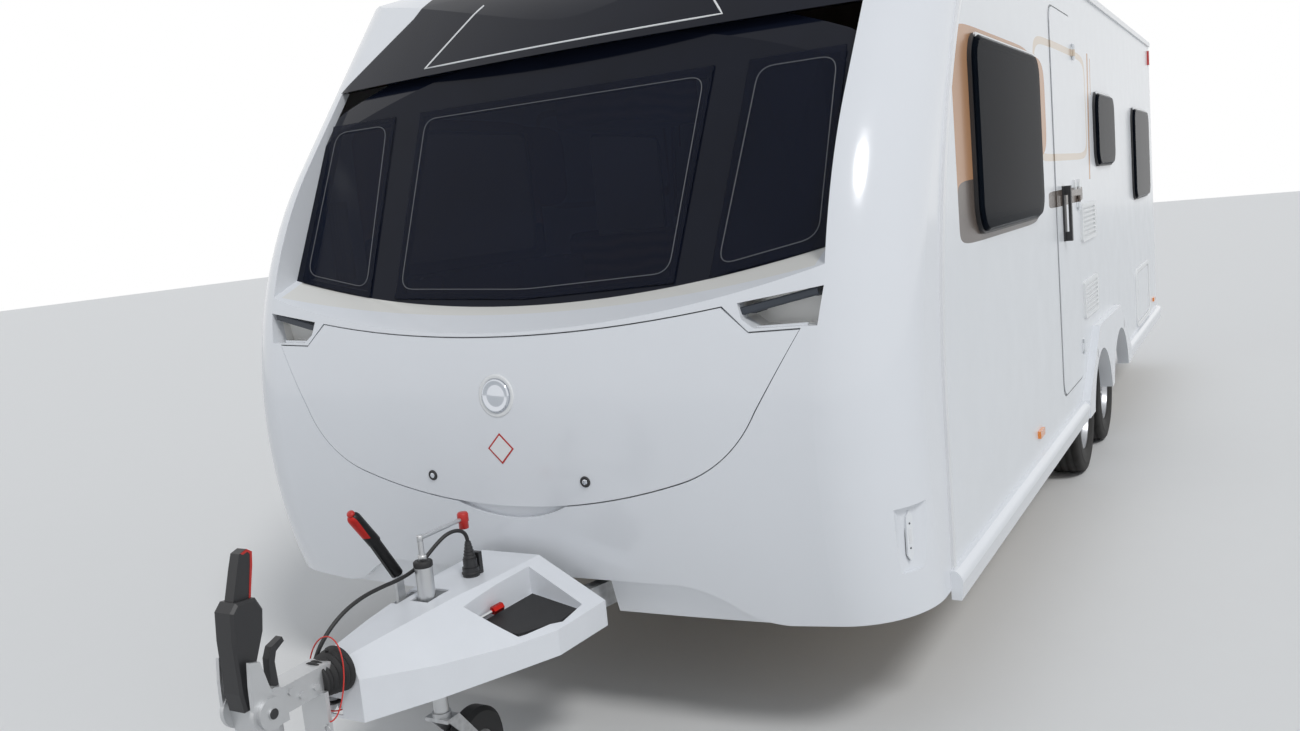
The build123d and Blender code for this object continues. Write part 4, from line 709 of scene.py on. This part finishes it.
# Rear: two three-sided reflectors and a grab rail on each side.
# The photograph doesn't show this end; it follows the type.
rear_y, reflector_x, reflector_z, grab_x = 3.900, .72, .72, .86
grab_rail = [(3.899, .80), (3.933, .82), (3.938, .86), (3.938, 1.14), (3.933, 1.18), (3.899, 1.20)]
for side_name, side in sides:
    flat_plate(f"reflector_{side_name}", [(-.075, -.065), (.075, -.065), (0, .065)],
               Vector((side * reflector_x, rear_y, reflector_z)), Vector((0, 1, 0)), -.002, .008,
               "red_plastic", "caravan")
    thin_line(f"rear_rail_{side_name}", [(side * grab_x, y, z) for y, z in grab_rail], .011,
              "black_plastic", "caravan", closed=False)


# Seats and curtains seen through the glass: stuffed cushions in place of the plain blocks,
# and gathered curtains that hang beside the front window.
def cushion(name, low, high):
    """A stuffed block between two corners; its faces swell towards their middles."""
    bulge, steps, edge_power = .014, 12, 10
    low, high = Vector(low), Vector(high)
    centre, half = (low + high) / 2, (high - low) / 2
    verts, faces = [], []
    for axis in range(3):
        for sign in (-1, 1):
            base = len(verts)
            u_axis, v_axis = (axis + 1) % 3, (axis + 2) % 3
            for i in range(steps + 1):
                for j in range(steps + 1):
                    u, v = (math.sin(math.pi / 2 * (2 * step / steps - 1)) for step in (i, j))
                    p = [0.0, 0.0, 0.0]
                    p[axis], p[u_axis], p[v_axis] = sign, u, v
                    swell = (1 - .5 * (max(abs(u), abs(v)) ** edge_power)) * bulge
                    spot = Vector((p[0] * (half.x - bulge), p[1] * (half.y - bulge), p[2] * (half.z - bulge)))
                    spot[axis] += sign * swell
                    verts.append(centre + spot)
            for i in range(steps):
                for j in range(steps):
                    a = base + i * (steps + 1) + j
                    quad = (a, a + steps + 1, a + steps + 2, a + 1)
                    faces.append(quad if sign > 0 else quad[::-1])
    piece = add_piece(name, verts, faces, "cloth", "caravan")
    weld = piece.modifiers.new("weld", "WELD")
    weld.merge_threshold = .0004
    return piece


bench_y, cushion_pitch, cushion_gap = -2.368, .556, .004
for side_name, side in sides:
    for k in range(3):
        y0, y1 = bench_y + k * cushion_pitch, bench_y + (k + 1) * cushion_pitch - cushion_gap
        for kind, x0, x1, z0, z1 in (("seat", .522, 1.020, .862, .978),
                                     ("back", 1.034, 1.160, .982, 1.378)):
            x0, x1 = sorted((side * x0, side * x1))
            cushion(f"{kind}_{side_name}_{k}", (x0, y0, z0), (x1, y1, z1))
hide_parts("seat_cushions")

columns, rows_up = 60, 8
curtain_x, curtain_reach, curtain_y, gather_depth, gathers = 1.074, .084, -2.300, .016, 5
curtain_z, curtain_drop = 1.402, .296
for side_name, side in sides:
    verts = []
    for i in range(columns + 1):
        t = i / columns
        x = side * (curtain_x + curtain_reach * t)
        y = curtain_y + gather_depth * math.sin(t * math.pi * (2 * gathers))
        for j in range(rows_up + 1):
            verts.append(Vector((x, y + .002 * math.sin(j), curtain_z + curtain_drop * j / rows_up)))
    column = rows_up + 1
    faces = [(i * column + j, (i + 1) * column + j, (i + 1) * column + j + 1, i * column + j + 1)
             for i in range(columns) for j in range(rows_up)]
    width = sum((verts[(i + 1) * column] - verts[i * column]).length for i in range(columns))
    piece = add_piece(f"curtain_{side_name}", verts, faces, "curtain", "caravan")
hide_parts("curtains")


# Floor, backdrop and lights: a pale floor, a world that is white to the camera and to reflections,
# soft light from all round and one broad lamp high on the camera's left.
floor_mesh = bpy.data.meshes.new("studio_floor")
reach = 40.0
floor_corners = [(-reach, -reach, 0), (reach, -reach, 0), (reach, reach, 0), (-reach, reach, 0)]
floor_mesh.from_pydata(floor_corners, [], [(0, 1, 2, 3)])
studio_floor = bpy.data.objects.new("studio_floor", floor_mesh)
scene.collection.objects.link(studio_floor)
finishes["studio"] = Surface("studio", (.80, .80, .79), .8, spread=.01, bump=0.0)
dress(studio_floor, "studio")
sun_light = bpy.data.lights.new("key", "SUN")
sun_light.energy, sun_light.angle = 1.15, math.radians(14)
sun = bpy.data.objects.new("key", sun_light)
scene.collection.objects.link(sun)
sun.rotation_euler = Vector((-.75, .45, -1.0)).to_track_quat("-Z", "Y").to_euler()
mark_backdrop(studio_floor, sun)

world = bpy.data.worlds.new("studio")
scene.world = world
world.use_nodes = True
sky = world.node_tree
soft = sky.nodes["Background"]
plain = sky.nodes.new("ShaderNodeBackground")
for glow, colour, strength in ((soft, (.86, .90, .96, 1), .56), (plain, (1, 1, 1, 1), 1.0)):
    glow.inputs["Color"].default_value = colour
    glow.inputs["Strength"].default_value = strength
rays = sky.nodes.new("ShaderNodeLightPath")
blend = sky.nodes.new("ShaderNodeMixShader")
seen = Wire(sky, rays.outputs["Is Camera Ray"]) + Wire(sky, rays.outputs["Is Glossy Ray"])
seen = seen + Wire(sky, rays.outputs["Is Transmission Ray"])
sky.links.new(seen.over(.5).socket, blend.inputs[0])
sky.links.new(soft.outputs[0], blend.inputs[1])
sky.links.new(plain.outputs[0], blend.inputs[2])
sky.links.new(blend.outputs[0], sky.nodes["World Output"].inputs["Surface"])

low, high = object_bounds()
